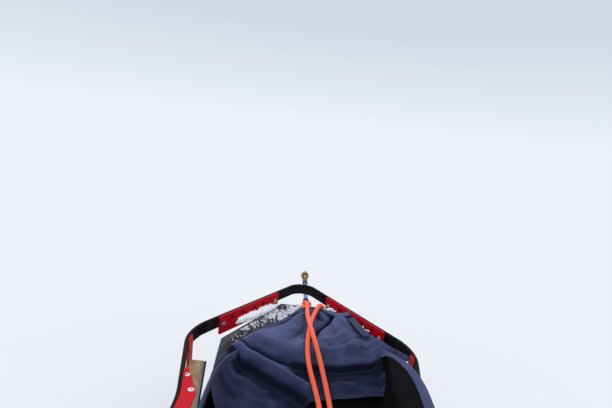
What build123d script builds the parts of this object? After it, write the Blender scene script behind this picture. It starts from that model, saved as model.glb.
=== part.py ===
from build123d import *
import os
from math import atan2, cos, degrees, pi, radians, sin, tan

os.makedirs("parts", exist_ok=True)

# Main sizes in millimetres. A station is a distance forward of the runner tails.
APEX = 2600
SNAP_REACH = 290
LENGTH = APEX + SNAP_REACH

# Brush bow: a plastic strip on edge, bent in plan round the sled's nose
BOW_TOP = 380
BOW_HEIGHT = 30
BOW_THICK = 8
BOW_EDGE = 2
BOW_LINE = [(224, 1880), (224, 2030), (270, 2262), (0, APEX + 31)]
BOW_RADII = [250, 130]
APEX_RADIUS = 45
SHOULDER_X = 261.4
SHOULDER_STATION = 2231

# Red plates that stiffen the bow
PLATE_THICK = 4
PLATE_HEIGHT = 48
PLATE_CORNER = 3
SLOT_SIZE = (16, 6)
FRONT_PLATE_FROM = 132
FRONT_PLATE_LENGTH = 232
SLOT_PLACES = (64, 106, 148, 190)
SLOT_DROP = 14
SIDE_PLATE_FRONT = 2125
SIDE_PLATE_BACK = 1895
GUSSET_DROP = 66
GUSSET_RUN = 120
GUSSET_ROUND = 20
GUSSET_TOP = [(194, 1897), (194, 2040), (229, 2120), (260, 2120), (260, 1897)]
GUSSET_TOP_WIDTH = 32
GUSSET_TOP_ROUND = 7
TIP_PLATE = (36, 86)
TIP_PLATE_DROP = 2
TIP_PLATE_ROUND = 10

# Runners: a plastic sole, an aluminium rail and a laminated ash beam
SOLE_TOP = 9
RAIL_TOP = 15
RUNNER_TOP = 46
RUNNER_WIDTH = 30
RUNNER_RAIL_WIDTH = 22
SOLE_WIDTH = 34
RUNNER_X = SHOULDER_X - BOW_THICK / 2 - PLATE_THICK - RUNNER_WIDTH / 2
UPTURN = 2060
UPTURN_ANGLE = radians(56)
UPTURN_RADIUS = 320
TIP_RUN = 362
TIP = (UPTURN + TIP_RUN * cos(UPTURN_ANGLE), TIP_RUN * sin(UPTURN_ANGLE))
GROUND_LINE = [(0, 0), (UPTURN, 0), TIP]
TAIL_ROUND = 14
FOOT_PAD = (60, 620, 60, 12)
RIB_PITCH = 28
RIB_COUNT = 18
RIB_SIZE = (48, 8)
RIB_HEIGHT = 3
RIB_TAPER = 20

# Side rails, stanchions and cross bars
RAIL_X = 204
RAIL_WIDTH = 24
RAIL_HEIGHT = 28
RAIL_FRONT = (1990, 366)
RAIL_BACK = (758, 445)
STANCHIONS = {"front": 1835, "mid": 1352}
STANCHION_SECTION = (24, 36)
SECTION_ROUND = 5
RAIL_ROUND = 7
CROSS_BAR_SECTION = (40, 36)
CROSS_BAR_HALF = 228
BED_UNDER = 118
ANGLE_LEG = 34
ANGLE_THICK = 3
ANGLE_WIDTH = 22
ANGLE_BEND = 5

# Handlebar: a hoop that leans back over the footboards
HOOP_FOOT = 870
HOOP_LEAN = radians(13.6)
HOOP_RUN = 985
HOOP_RADIUS = 14
HOOP_TOP_X = 205
HOOP_WAIST = (RAIL_X + RAIL_WIDTH / 2 + HOOP_RADIUS + 0.3, 430)
HOOP_BENDS = [300, 110]
GRIP_LENGTH = 170
GRIP_THICK = 4
SOCKET_RUN = 30
SOCKET_FOOT = 90
SLAT_AT = 620
SLAT_HEIGHT = 55
SLAT_THICK = 12
SLAT_ROUND = 14
STAY_TOP = 745
STAY_FOOT = 1190
STAY_RADIUS = 6

# Bed: a plastic sheet that sweeps up under the bow
BED_THICK = 6
BED_HALF = 205
BED_LINE = [(885, BED_UNDER), (2010, BED_UNDER), (2290, 300), (2548, 327)]
BED_RADII = [280, 300]
BED_CORNER = 20
RING_HOLE = 6

# Canvas bag, seat pad and backrest
BAG_HALF = 189
BAG_WALL = 6
BAG_GAP = 4
BAG_FRONT = 2486
BAG_INSET = 16
BAG_NOSE_ROUND = 30
HEM = [(BAG_FRONT, 354), (2365, 352), (1985, 356)]
HEM_BACK = 422
BAG_FLOOR = 131
BAG_SLOPE = [(1985, BAG_FLOOR), (2282, 328), (2400, 362)]
SEAT = (882, 1480, 350, 50)
SEAT_CORNER = 30
SEAT_EDGE = 14
BACKREST = (175, 660, 340, 36)
BACKREST_CORNER = 40
BACKREST_EDGE = 12

# Brake and drag mat, both hung on one axle behind the rear cross bar
AXLE = (832, 98)
AXLE_RADIUS = 6
AXLE_HALF = 196
LUG_X = 188
LUG_THICK = 6
LUG_WALL = 6
LUG_ROOT = (-12, 14)
PIVOT_PLAY = 0.3
ARM_HEIGHT = 24
ARM_THICK = 6
BRAKE_REACH = 208
BRAKE_RISE = 50
BRAKE_ARM_X = 120
BRAKE_PLATE = (280, 56, 5)
PLATE_SINK = 3
TREAD_HOLES = (11, 20)
TREAD_HOLE = (34, 8)
CLAW_LENGTH = 72
CLAW_INSET = 12
CLAW_RAKE = 8
CLAW_ROOT = (18, 30)
CLAW_TIP = (14, 4)
SPRING_WIRE = 5
SPRING_TURNS = 7
SPRING_GROOVE = 1
SPRING_LEG = 2
MAT_ARM_X = 165
MAT_HOLD = 20
MAT_CLAMP = (344, 32, 5)
MAT_CLAMP_BACK = 42
MAT = (380, 400, 10)
MAT_FRONT = 572
MAT_CLEAR = 2
MAT_CORNER = 15
MAT_LUG = (350, 18)
MAT_LUG_HEIGHT = 14
MAT_LUG_TAPER = 12
MAT_LUG_ROWS = 7
MAT_LUG_PITCH = 56

# Tow rigging
RING_X = 16
RING = (2548, 330)
RING_RADIUS = 16
RING_WIRE = 4
LOOP_ROPE = 3
SNAP_EYE = (2824, 312)
EYE_RADIUS = 10
EYE_WIRE = 3
SNAP_BODY = 30
BARREL_RADIUS = 8
SNAP_COLLAR = (9, 14)
HOOK_WIRE = 4
HOOK_HALF = 8
BRIDLE_ROPE = 5
BRIDLE_HEAD = (2528, 312)
BRIDLE_SPREAD = 9
BRIDLE_FOOT = (1985, 46)

# Passenger's hand rope, from the ring out to its bight and back: x, station, height
HAND_ROPE = 6
HAND_ROUTE = [
    (16, 2520, 355), (16, 2474, 364), (14, 2424, 368), (17, 2372, 375), (24, 2318, 374),
    (40, 2272, 349), (60, 2222, 303), (78, 2158, 258), (90, 2090, 213), (93, 2028, 171),
    (82, 1965, 141), (66, 1880, 139), (58, 1790, 139), (64, 1705, 139), (66, 1650, 139),
    (58, 1604, 139), (27, 1572, 139), (-14, 1573, 139), (-40, 1608, 139), (-38, 1656, 139),
    (-22, 1724, 139), (-24, 1805, 139), (-6, 1890, 139),
    (22, 1968, 142), (46, 2034, 174), (58, 2104, 220), (53, 2166, 262), (36, 2214, 294),
    (20, 2256, 322), (15, 2300, 345), (19, 2350, 359), (26, 2400, 362), (38, 2446, 365),
    (51, 2484, 374), (64, 2511, 350),
]


def at(station):
    """The y of a station, with the origin midway along the sled."""
    return station - LENGTH / 2


def side_line(points):
    """Station and height pairs as points of the Y-Z plane."""
    return [(at(station), height) for station, height in points]


def plan_line(points):
    """X and station pairs as points of the X-Y plane."""
    return [(x, at(station)) for x, station in points]


def beside(points, distance):
    """Points of a line of straight runs, moved to the left of the way it runs."""
    ways = [(Vector(*b) - Vector(*a)).normalized() for a, b in zip(points, points[1:])]
    moved = []
    for i, point in enumerate(points):
        before = ways[max(i - 1, 0)]
        after = ways[min(i, len(ways) - 1)]
        across = Vector(-before.Y - after.Y, before.X + after.X).normalized()
        mitre = across.dot(Vector(-after.Y, after.X))
        moved.append(Vector(*point) + across * (distance / mitre))
    return moved


def run_beside(points, radii, distance):
    """A rounded line beside a rounded line, drawn in the sketch in hand."""
    corners = beside(points, distance)
    turns = [(b - a).cross(c - b).Z for a, b, c in zip(corners, corners[1:], corners[2:])]
    closer = [r - distance if turn > 0 else r + distance for r, turn in zip(radii, turns)]
    return FilletPolyline(*corners, radius=closer)


def ribbon(points, radii, near, far):
    """Face between two rounded lines that run beside a third."""
    with BuildLine() as outline:
        inner = run_beside(points, radii, near)
        outer = run_beside(points, radii, far)
        Line(inner @ 0, outer @ 0)
        Line(inner @ 1, outer @ 1)
    make_face(outline.edges())


def polygon(points):
    """Face with straight sides, in the sketch in hand."""
    with BuildLine() as outline:
        Polyline(*points, close=True)
    make_face(outline.edges())


def flat_arm(start, end, width):
    """Bar with round ends from one point to another, in the sketch in hand."""
    run = Vector(*end) - Vector(*start)
    with Locations(Vector(*start) + run * 0.5):
        SlotCenterToCenter(run.length, width, rotation=degrees(atan2(run.Y, run.X)))


def round_bar(start, end, radius):
    """Round bar from one point to another, in the part in hand."""
    axis = Vector(*end) - Vector(*start)
    with BuildSketch(Plane(origin=start, z_dir=axis)) as section:
        Circle(radius)
    extrude(section.sketch, amount=axis.length)


def rail_height(station):
    """Height of the side rail's centre line at a station."""
    share = (station - RAIL_BACK[0]) / (RAIL_FRONT[0] - RAIL_BACK[0])
    return RAIL_BACK[1] + share * (RAIL_FRONT[1] - RAIL_BACK[1])


def hoop_station(height, ahead=0):
    """Station of the handlebar's plane at a height, or of a plane ahead of it."""
    return HOOP_FOOT - (height - RUNNER_TOP) * tan(HOOP_LEAN) + ahead / cos(HOOP_LEAN)


def hoop_run(height):
    """Distance up the handlebar's plane to a height."""
    return (height - RUNNER_TOP) / cos(HOOP_LEAN)


def nose_plan(back, front, half, inset):
    """Outline in plan of a thing that narrows inside the bow's arms."""
    slope = (BOW_LINE[3][1] - BOW_LINE[2][1]) / BOW_LINE[2][0]
    shoulder = BOW_LINE[3][1] - (half + inset) * slope
    nose_half = (BOW_LINE[3][1] - front) / slope - inset
    right = [(half, back), (half, shoulder), (nose_half, front)]
    return plan_line(right + [(-x, station) for x, station in reversed(right)])


def write(piece, name):
    """Label a finished piece and write its file."""
    piece.part.label = name
    export_step(piece.part, f"parts/{name}.step")


def write_pair(piece, name):
    """Write a right-hand piece and its mirror image."""
    write(piece, f"{name}_right")
    with BuildPart() as twin:
        mirror(piece.part, about=Plane.YZ)
    write(twin, f"{name}_left")


# The runner's three layers share one side line that turns up to the bow
RUNNER_LAYERS = (
    # name, underside, top, width
    ("runner_sole", 0, SOLE_TOP, SOLE_WIDTH),
    ("runner_rail", SOLE_TOP, RAIL_TOP, RUNNER_RAIL_WIDTH),
    ("runner", RAIL_TOP, RUNNER_TOP, RUNNER_WIDTH),
)
for layer_name, low, high, width in RUNNER_LAYERS:
    with BuildPart() as runner:
        with BuildSketch(Plane.YZ.offset(RUNNER_X - width / 2)) as side:
            ribbon(side_line(GROUND_LINE), [UPTURN_RADIUS], low, high)
            if high == RUNNER_TOP:
                fillet(side.vertices().group_by(Axis.X)[0].sort_by(Axis.Y)[-1], TAIL_ROUND)
        extrude(amount=width)
    write_pair(runner, layer_name)

# Ribbed footboard on each runner's tail
with BuildPart() as foot_pad:
    pad_back, pad_front, pad_width, pad_thick = FOOT_PAD
    pad_middle = (RUNNER_X, at((pad_back + pad_front) / 2))
    with BuildSketch(Plane.XY.offset(RUNNER_TOP)):
        with Locations(pad_middle):
            RectangleRounded(pad_width, pad_front - pad_back, 12)
    extrude(amount=pad_thick)
    with BuildSketch(Plane.XY.offset(RUNNER_TOP + pad_thick)):
        with Locations(pad_middle):
            with GridLocations(0, RIB_PITCH, 1, RIB_COUNT):
                SlotOverall(*RIB_SIZE)
    extrude(amount=RIB_HEIGHT, taper=RIB_TAPER)
write_pair(foot_pad, "foot_pad")

# Handlebar hoop, on a plane that leans back
HOOP_PLANE = Plane(
    origin=(0, at(HOOP_FOOT), RUNNER_TOP),
    x_dir=(1, 0, 0),
    z_dir=(0, -cos(HOOP_LEAN), -sin(HOOP_LEAN)),
)
hoop_right = [(HOOP_TOP_X, HOOP_RUN), HOOP_WAIST, (RUNNER_X, -HOOP_RADIUS)]
hoop_left = [(-x, run) for x, run in reversed(hoop_right)]
with BuildPart() as handlebar:
    with BuildLine(HOOP_PLANE) as hoop:
        FilletPolyline(*hoop_left, *hoop_right, radius=[*HOOP_BENDS, *reversed(HOOP_BENDS)])
    with BuildSketch(Plane(origin=hoop.line @ 0, z_dir=hoop.line % 0)):
        Circle(HOOP_RADIUS)
    sweep()
    split(bisect_by=Plane.XY.offset(RUNNER_TOP), keep=Keep.TOP)
write(handlebar, "handlebar")

# Grip sleeve over the hoop's top bar
with BuildPart() as grip:
    grip_end = HOOP_PLANE.from_local_coords((-GRIP_LENGTH / 2, HOOP_RUN, 0))
    with BuildSketch(Plane(origin=grip_end, z_dir=(1, 0, 0))):
        Circle(HOOP_RADIUS + GRIP_THICK)
        Circle(HOOP_RADIUS, mode=Mode.SUBTRACT)
    extrude(amount=GRIP_LENGTH)
write(grip, "handlebar_grip")

# Side rails
with BuildPart() as side_rail:
    half = RAIL_HEIGHT / 2
    outline = [(station, z - half) for station, z in (RAIL_BACK, RAIL_FRONT)]
    outline += [(station, z + half) for station, z in (RAIL_FRONT, RAIL_BACK)]
    with BuildSketch(Plane.YZ.offset(RAIL_X - RAIL_WIDTH / 2)):
        polygon(side_line(outline))
    extrude(amount=RAIL_WIDTH)
    inner_face = side_rail.faces().sort_by(Axis.X)[0]
    fillet(inner_face.edges().sort_by(SortBy.LENGTH)[-2:], RAIL_ROUND)
    tail_end = side_rail.faces().sort_by(Axis.Y)[0]
    fillet(tail_end.edges().filter_by(Axis.X).sort_by(Axis.Z)[0], RAIL_ROUND)
write_pair(side_rail, "side_rail")

# Stanchions lean in from the runner to the rail
RAIL_PITCH = degrees(atan2(RAIL_FRONT[1] - RAIL_BACK[1], RAIL_FRONT[0] - RAIL_BACK[0]))
HEAD_ABOVE = 20
stanchions = {}
for place, station in STANCHIONS.items():
    rail_under = rail_height(station) - RAIL_HEIGHT / 2 / cos(radians(RAIL_PITCH))
    lean_in = (RUNNER_X - RAIL_X) / (rail_under - RUNNER_TOP)
    with BuildPart() as stanchion:
        with BuildSketch(Plane(origin=(RUNNER_X, at(station), RUNNER_TOP))) as stanchion_foot:
            RectangleRounded(*STANCHION_SECTION, SECTION_ROUND)
        rise = Vector(-lean_in, 0, 1) * (rail_under + HEAD_ABOVE - RUNNER_TOP)
        extrude(stanchion_foot.sketch, amount=rise.length, dir=rise)
        rail_plane = Plane(origin=(0, at(station), rail_under)).rotated((RAIL_PITCH, 0, 0))
        split(bisect_by=rail_plane, keep=Keep.BOTTOM)
    stanchions[place] = stanchion.part
    write_pair(stanchion, f"stanchion_{place}")

# Cross bars between the stanchions, and between the handlebar's legs
CROSS_BARS = (
    # name, station, what its ends meet
    ("front", STANCHIONS["front"], stanchions["front"]),
    ("mid", STANCHIONS["mid"], stanchions["mid"]),
    ("rear", HOOP_FOOT, handlebar.part),
)
for place, station, carrier in CROSS_BARS:
    with BuildPart() as cross_bar:
        with BuildSketch(Plane.YZ):
            with Locations((at(station), BED_UNDER - CROSS_BAR_SECTION[1] / 2)):
                RectangleRounded(*CROSS_BAR_SECTION, SECTION_ROUND)
        extrude(amount=CROSS_BAR_HALF, both=True)
        add(carrier, mode=Mode.SUBTRACT)
        if place != "rear":
            mirror(carrier, about=Plane.YZ, mode=Mode.SUBTRACT)
    write(cross_bar, f"cross_bar_{place}")

# Angle brackets at the stanchions' feet
with BuildPart() as foot_brackets:
    for station in STANCHIONS.values():
        for way in (1, -1):
            face = at(station) + way * STANCHION_SECTION[1] / 2
            inner_corner = (face + way * ANGLE_THICK, RUNNER_TOP + ANGLE_THICK)
            with BuildSketch(Plane.YZ.offset(RUNNER_X - ANGLE_WIDTH / 2)) as angle:
                polygon([
                    (face, RUNNER_TOP),
                    (face + way * ANGLE_LEG, RUNNER_TOP),
                    (face + way * ANGLE_LEG, RUNNER_TOP + ANGLE_THICK),
                    inner_corner,
                    (face + way * ANGLE_THICK, RUNNER_TOP + ANGLE_LEG),
                    (face, RUNNER_TOP + ANGLE_LEG),
                ])
                fillet(angle.vertices().sort_by_distance(inner_corner)[0], ANGLE_BEND)
            extrude(amount=ANGLE_WIDTH)
write_pair(foot_brackets, "foot_brackets")

# Sockets that hold the handlebar's feet on the runners
with BuildPart() as socket:
    with BuildLine(HOOP_PLANE) as leg:
        Line(hoop_right[2], (RUNNER_X, SOCKET_RUN))
    with BuildSketch(Plane(origin=leg.line @ 0, z_dir=leg.line % 0)):
        Circle(HOOP_RADIUS + ANGLE_THICK)
    sweep()
    split(bisect_by=Plane.XY.offset(RUNNER_TOP), keep=Keep.TOP)
    with BuildSketch(Plane.XY.offset(RUNNER_TOP)):
        with Locations((RUNNER_X, at(HOOP_FOOT))):
            SlotOverall(SOCKET_FOOT, RUNNER_WIDTH, rotation=90)
    extrude(amount=ANGLE_THICK)
    add(handlebar.part, mode=Mode.SUBTRACT)
write_pair(socket, "handlebar_socket")

# Slat across the front of the handlebar's legs
with BuildPart() as slat:
    with BuildSketch(HOOP_PLANE.offset(-HOOP_RADIUS)):
        with Locations((0, hoop_run(SLAT_AT))):
            RectangleRounded(2 * HOOP_WAIST[0], SLAT_HEIGHT, SLAT_ROUND)
    extrude(amount=-SLAT_THICK)
write(slat, "handlebar_slat")

# Stays from the handlebar down to the rails
with BuildPart() as stay:
    share = (hoop_run(STAY_TOP) - HOOP_WAIST[1]) / (HOOP_RUN - HOOP_WAIST[1])
    stay_x = HOOP_WAIST[0] + share * (HOOP_TOP_X - HOOP_WAIST[0])
    stay_head = (stay_x, at(hoop_station(STAY_TOP)), STAY_TOP)
    stay_foot = (RAIL_X, at(STAY_FOOT), rail_height(STAY_FOOT))
    round_bar(stay_head, stay_foot, STAY_RADIUS)
    add(handlebar.part, mode=Mode.SUBTRACT)
    add(side_rail.part, mode=Mode.SUBTRACT)
write_pair(stay, "stay")

# Brush bow
bow_right = plan_line(BOW_LINE)
bow_left = [(-x, y) for x, y in reversed(bow_right[:-1])]
bow_bends = [*BOW_RADII, APEX_RADIUS, *reversed(BOW_RADII)]
with BuildPart() as bow:
    with BuildSketch(Plane.XY.offset(BOW_TOP - BOW_HEIGHT)):
        ribbon(bow_right + bow_left, bow_bends, -BOW_THICK / 2, BOW_THICK / 2)
    extrude(amount=BOW_HEIGHT)
    level_faces = bow.faces().filter_by(Axis.Z)
    fillet(level_faces.edges().filter_by(Axis.X, reverse=True), BOW_EDGE)
write(bow, "brush_bow")

# Slotted plates on the inside of the bow's arms
arm = (Vector(*bow_right[2]) - Vector(*bow_right[3])).normalized()
inward = Vector(arm.Y, -arm.X)
plate_corner = Vector(*bow_right[3]) + arm * FRONT_PLATE_FROM + inward * (BOW_THICK / 2)
PLATE_PLANE = Plane(
    origin=(plate_corner.X, plate_corner.Y, BOW_TOP),
    x_dir=(arm.X, arm.Y, 0),
    z_dir=(inward.X, inward.Y, 0),
)
with BuildPart() as front_plate:
    with BuildSketch(PLATE_PLANE):
        with Locations((FRONT_PLATE_LENGTH / 2, -PLATE_HEIGHT / 2)):
            RectangleRounded(FRONT_PLATE_LENGTH, PLATE_HEIGHT, PLATE_CORNER)
        with Locations(*[(run, -SLOT_DROP) for run in SLOT_PLACES]):
            SlotOverall(*SLOT_SIZE, mode=Mode.SUBTRACT)
    extrude(amount=PLATE_THICK)
write_pair(front_plate, "front_plate")

# Gusset plates between the bow's tails and the side rails: a web beside the bow, and a top that
# lies on the rail's front end
with BuildPart() as side_plate:
    with BuildSketch(Plane.XY.offset(BOW_TOP - GUSSET_DROP)):
        ribbon(bow_right[:3], BOW_RADII[:1], BOW_THICK / 2, BOW_THICK / 2 + PLATE_THICK)
    extrude(amount=GUSSET_DROP)
    with BuildSketch(Plane.YZ) as gusset:
        polygon(side_line([
            (SIDE_PLATE_BACK, BOW_TOP),
            (SIDE_PLATE_FRONT, BOW_TOP),
            (SIDE_PLATE_FRONT, BOW_TOP - PLATE_HEIGHT),
            (SIDE_PLATE_BACK + GUSSET_RUN, BOW_TOP - GUSSET_DROP),
            (SIDE_PLATE_BACK, BOW_TOP - GUSSET_DROP),
        ]))
        fillet(gusset.vertices().group_by(Axis.X)[-1], GUSSET_ROUND)
    extrude(amount=BOW_LINE[2][0], mode=Mode.INTERSECT)
with BuildPart() as flange:
    with BuildSketch(Plane.YZ):
        ends = [(station, rail_height(station) + RAIL_HEIGHT / 2) for _, station in GUSSET_TOP[:3:2]]
        polygon(side_line(ends + [(station, height + PLATE_THICK) for station, height in reversed(ends)]))
    extrude(amount=BOW_LINE[2][0])
    with BuildSketch():
        ribbon(bow_right[:3], BOW_RADII[:1], BOW_THICK / 2, BOW_THICK / 2 + GUSSET_TOP_WIDTH)
    extrude(amount=BOW_TOP * 2, mode=Mode.INTERSECT)
    with BuildSketch() as flange_plan:
        polygon(plan_line(GUSSET_TOP))
        fillet(flange_plan.vertices().sort_by(Axis.X)[:3], GUSSET_TOP_ROUND)
    extrude(amount=BOW_TOP * 2, mode=Mode.INTERSECT)
with BuildPart() as gusset_plate:
    add(side_plate.part)
    add(flange.part)
write_pair(gusset_plate, "side_plate")

# Plates that hang the runner tips from the bow's shoulders
with BuildPart() as tip_plate:
    with BuildSketch(Plane.YZ.offset(RUNNER_X + RUNNER_WIDTH / 2)):
        with Locations((at(SHOULDER_STATION), BOW_TOP - TIP_PLATE_DROP - TIP_PLATE[1] / 2)):
            RectangleRounded(*TIP_PLATE, TIP_PLATE_ROUND)
    extrude(amount=PLATE_THICK)
    add(bow.part, mode=Mode.SUBTRACT)
write_pair(tip_plate, "tip_plate")

# Bed sheet, narrowing under the bow's arms, with a hole for the tow ring
with BuildPart() as bed:
    with BuildSketch(Plane.YZ):
        ribbon(side_line(BED_LINE), BED_RADII, 0, BED_THICK)
    extrude(amount=BED_HALF, both=True)
    with BuildSketch() as bed_plan:
        polygon(nose_plan(BED_LINE[0][0], BED_LINE[3][0], BED_HALF, 0))
        fillet(bed_plan.vertices().group_by(Axis.Y)[0], BED_CORNER)
        with Locations((RING_X, at(RING[0] - RING_RADIUS))):
            Circle(RING_HOLE, mode=Mode.SUBTRACT)
    extrude(amount=BOW_TOP, mode=Mode.INTERSECT)
write(bed, "bed_sheet")

# Canvas bag: a tub on the bed whose front is drawn up over the nose
BAG_BACK = HOOP_RADIUS + BAG_GAP
BAG_BACK_INSIDE = BAG_BACK + BAG_WALL
CAVITY_TOP = BOW_TOP + 100
with BuildPart() as bag:
    with BuildSketch(Plane.YZ):
        with BuildLine():
            floor = run_beside(side_line(BED_LINE), BED_RADII, BED_THICK)
            hem = Polyline(*side_line([
                (BED_LINE[3][0], HEM[0][1]),
                *HEM,
                (hoop_station(HEM_BACK, BAG_BACK), HEM_BACK),
                (hoop_station(BED_UNDER + BED_THICK, BAG_BACK), BED_UNDER + BED_THICK),
            ]))
            Line(floor @ 1, hem @ 0)
            Line(hem @ 1, floor @ 0)
        make_face()
    extrude(amount=BAG_HALF, both=True)
    with BuildSketch() as bag_plan:
        polygon(nose_plan(HOOP_FOOT - 200, BAG_FRONT, BAG_HALF, BAG_INSET))
        fillet(bag_plan.vertices().group_by(Axis.Y)[-1], BAG_NOSE_ROUND)
    extrude(amount=CAVITY_TOP, mode=Mode.INTERSECT)
    with BuildSketch(Plane.YZ):
        polygon(side_line([
            (hoop_station(BAG_FLOOR, BAG_BACK_INSIDE), BAG_FLOOR),
            *BAG_SLOPE,
            (BAG_SLOPE[-1][0], CAVITY_TOP),
            (hoop_station(CAVITY_TOP, BAG_BACK_INSIDE), CAVITY_TOP),
        ]))
    extrude(amount=BAG_HALF - BAG_WALL, both=True, mode=Mode.SUBTRACT)
write(bag, "bag")

# Seat pad and backrest
with BuildPart() as seat:
    seat_back, seat_front, seat_width, seat_thick = SEAT
    with BuildSketch(Plane.XY.offset(BAG_FLOOR)):
        with Locations((0, at((seat_back + seat_front) / 2))):
            RectangleRounded(seat_width, seat_front - seat_back, SEAT_CORNER)
    extrude(amount=seat_thick)
    fillet(seat.faces().sort_by(Axis.Z)[-1].edges(), SEAT_EDGE)
write(seat, "seat_pad")

with BuildPart() as backrest:
    low, high, back_width, back_thick = BACKREST
    with BuildSketch(HOOP_PLANE.offset(-HOOP_RADIUS - SLAT_THICK)):
        with Locations((0, hoop_run((low + high) / 2))):
            RectangleRounded(back_width, hoop_run(high) - hoop_run(low), BACKREST_CORNER)
    extrude(amount=-back_thick)
    fillet(backrest.faces().sort_by(Axis.Y)[-1].edges(), BACKREST_EDGE)
write(backrest, "backrest")

# Axle and its lugs on the rear cross bar
pivot = side_line([AXLE])[0]
with BuildPart() as axle:
    with BuildSketch(Plane.YZ.offset(-AXLE_HALF)):
        with Locations(pivot):
            Circle(AXLE_RADIUS)
    extrude(amount=2 * AXLE_HALF)
    bar_face = HOOP_FOOT - CROSS_BAR_SECTION[0] / 2
    for x in (-LUG_X, 0, LUG_X):
        with BuildSketch(Plane.YZ.offset(x - LUG_THICK / 2)):
            with Locations(pivot):
                Circle(AXLE_RADIUS + LUG_WALL)
            polygon(side_line([
                (bar_face, AXLE[1] + LUG_ROOT[1]),
                (bar_face, AXLE[1] + LUG_ROOT[0]),
                (AXLE[0], AXLE[1] - AXLE_RADIUS - LUG_WALL),
                (AXLE[0], AXLE[1] + AXLE_RADIUS + LUG_WALL),
            ]))
        extrude(amount=LUG_THICK)
write(axle, "brake_axle")

# Brake: two arms and a tread plate
plate_middle = Vector(0, at(AXLE[0] - BRAKE_REACH), AXLE[1] + BRAKE_RISE)
arm_end = (plate_middle.Y, plate_middle.Z - ARM_HEIGHT / 2 + PLATE_SINK)
with BuildPart() as brake:
    for x in (-BRAKE_ARM_X, BRAKE_ARM_X):
        with BuildSketch(Plane.YZ.offset(x - ARM_THICK / 2)):
            flat_arm(pivot, arm_end, ARM_HEIGHT)
            with Locations(pivot):
                Circle(AXLE_RADIUS + PIVOT_PLAY, mode=Mode.SUBTRACT)
        extrude(amount=ARM_THICK)
    plate_width, plate_depth, plate_thick = BRAKE_PLATE
    with BuildSketch(Plane(origin=plate_middle)):
        RectangleRounded(plate_width, plate_depth, SECTION_ROUND)
        with GridLocations(TREAD_HOLES[1], 0, TREAD_HOLES[0], 1):
            SlotOverall(*TREAD_HOLE, rotation=90, mode=Mode.SUBTRACT)
    extrude(amount=plate_thick)
write(brake, "brake_frame")

# Claws under the tread plate
with BuildPart() as claws:
    for x in (CLAW_INSET - BRAKE_ARM_X, BRAKE_ARM_X - CLAW_INSET):
        with BuildSketch(Plane(origin=plate_middle + Vector(x, 0, 0))):
            Rectangle(*CLAW_ROOT)
        with BuildSketch(Plane(origin=plate_middle + Vector(x, CLAW_RAKE, -CLAW_LENGTH))):
            Rectangle(*CLAW_TIP)
        loft()
write(claws, "brake_claws")

# Torsion springs round the axle, inside the brake's arms, coils closed up in a sleeve
with BuildPart() as springs:
    spring_run = SPRING_TURNS * SPRING_WIRE
    crest = AXLE_RADIUS + SPRING_WIRE
    for way in (-1, 1):
        start = way * (BRAKE_ARM_X - ARM_THICK) - (spring_run if way > 0 else 0)
        coils = [(0, crest - SPRING_GROOVE)]
        for turn in range(SPRING_TURNS):
            coils += [((turn + 0.5) * SPRING_WIRE, crest), ((turn + 1) * SPRING_WIRE, crest - SPRING_GROOVE)]
        with BuildSketch(Plane(origin=(start, *pivot), x_dir=(1, 0, 0), z_dir=(0, -1, 0))):
            polygon([(0, AXLE_RADIUS), *coils, (spring_run, AXLE_RADIUS)])
        revolve(axis=Axis((0, *pivot), (1, 0, 0)))
        leg = start + (SPRING_WIRE / 2 if way > 0 else spring_run - SPRING_WIRE / 2)
        leg_height = pivot[1] + AXLE_RADIUS + SPRING_WIRE / 2
        round_bar((leg, pivot[0], leg_height), (leg, at(bar_face), leg_height), SPRING_LEG)
write(springs, "brake_springs")

# Drag mat with cross lugs, and the arms that hang it on the axle
mat_width, mat_length, mat_thick = MAT
mat_under = MAT_CLEAR + MAT_LUG_HEIGHT
with BuildPart() as mat:
    mat_middle = (0, at(MAT_FRONT - mat_length / 2))
    with BuildSketch(Plane.XY.offset(mat_under)):
        with Locations(mat_middle):
            RectangleRounded(mat_width, mat_length, MAT_CORNER)
    extrude(amount=mat_thick)
    with BuildSketch(Plane.XY.offset(mat_under)):
        with Locations(mat_middle):
            with GridLocations(0, MAT_LUG_PITCH, 1, MAT_LUG_ROWS):
                Rectangle(*MAT_LUG)
    extrude(amount=-MAT_LUG_HEIGHT, taper=MAT_LUG_TAPER)
write(mat, "drag_mat")

with BuildPart() as mat_arms:
    mat_hold = (at(MAT_FRONT - MAT_HOLD), mat_under + mat_thick + ARM_HEIGHT / 2)
    for x in (-MAT_ARM_X, MAT_ARM_X):
        with BuildSketch(Plane.YZ.offset(x - ARM_THICK / 2)):
            flat_arm(pivot, mat_hold, ARM_HEIGHT)
            with Locations(pivot):
                Circle(AXLE_RADIUS + PIVOT_PLAY, mode=Mode.SUBTRACT)
        extrude(amount=ARM_THICK)
    clamp_width, clamp_depth, clamp_thick = MAT_CLAMP
    with BuildSketch(Plane.XY.offset(mat_under + mat_thick)):
        with Locations((0, at(MAT_FRONT - MAT_CLAMP_BACK + clamp_depth / 2))):
            RectangleRounded(clamp_width, clamp_depth, SECTION_ROUND)
    extrude(amount=clamp_thick)
write(mat_arms, "drag_mat_arms")

# Tow ring through the bed's front edge
with BuildPart() as ring:
    with Locations(Location((RING_X, at(RING[0]), RING[1]), (0, 90, 0))):
        Torus(RING_RADIUS, RING_WIRE)
write(ring, "tow_ring")

# Bridle under the bed, from the ring back to the runners
with BuildPart() as bridle:
    head_y, head_z = side_line([BRIDLE_HEAD])[0]
    for way in (-1, 1):
        head = (RING_X + way * BRIDLE_SPREAD, head_y, head_z)
        round_bar(head, (way * RUNNER_X, *side_line([BRIDLE_FOOT])[0]), BRIDLE_ROPE)
    add(runner.part, mode=Mode.SUBTRACT)
    mirror(runner.part, about=Plane.YZ, mode=Mode.SUBTRACT)
write(bridle, "bridle")

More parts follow.
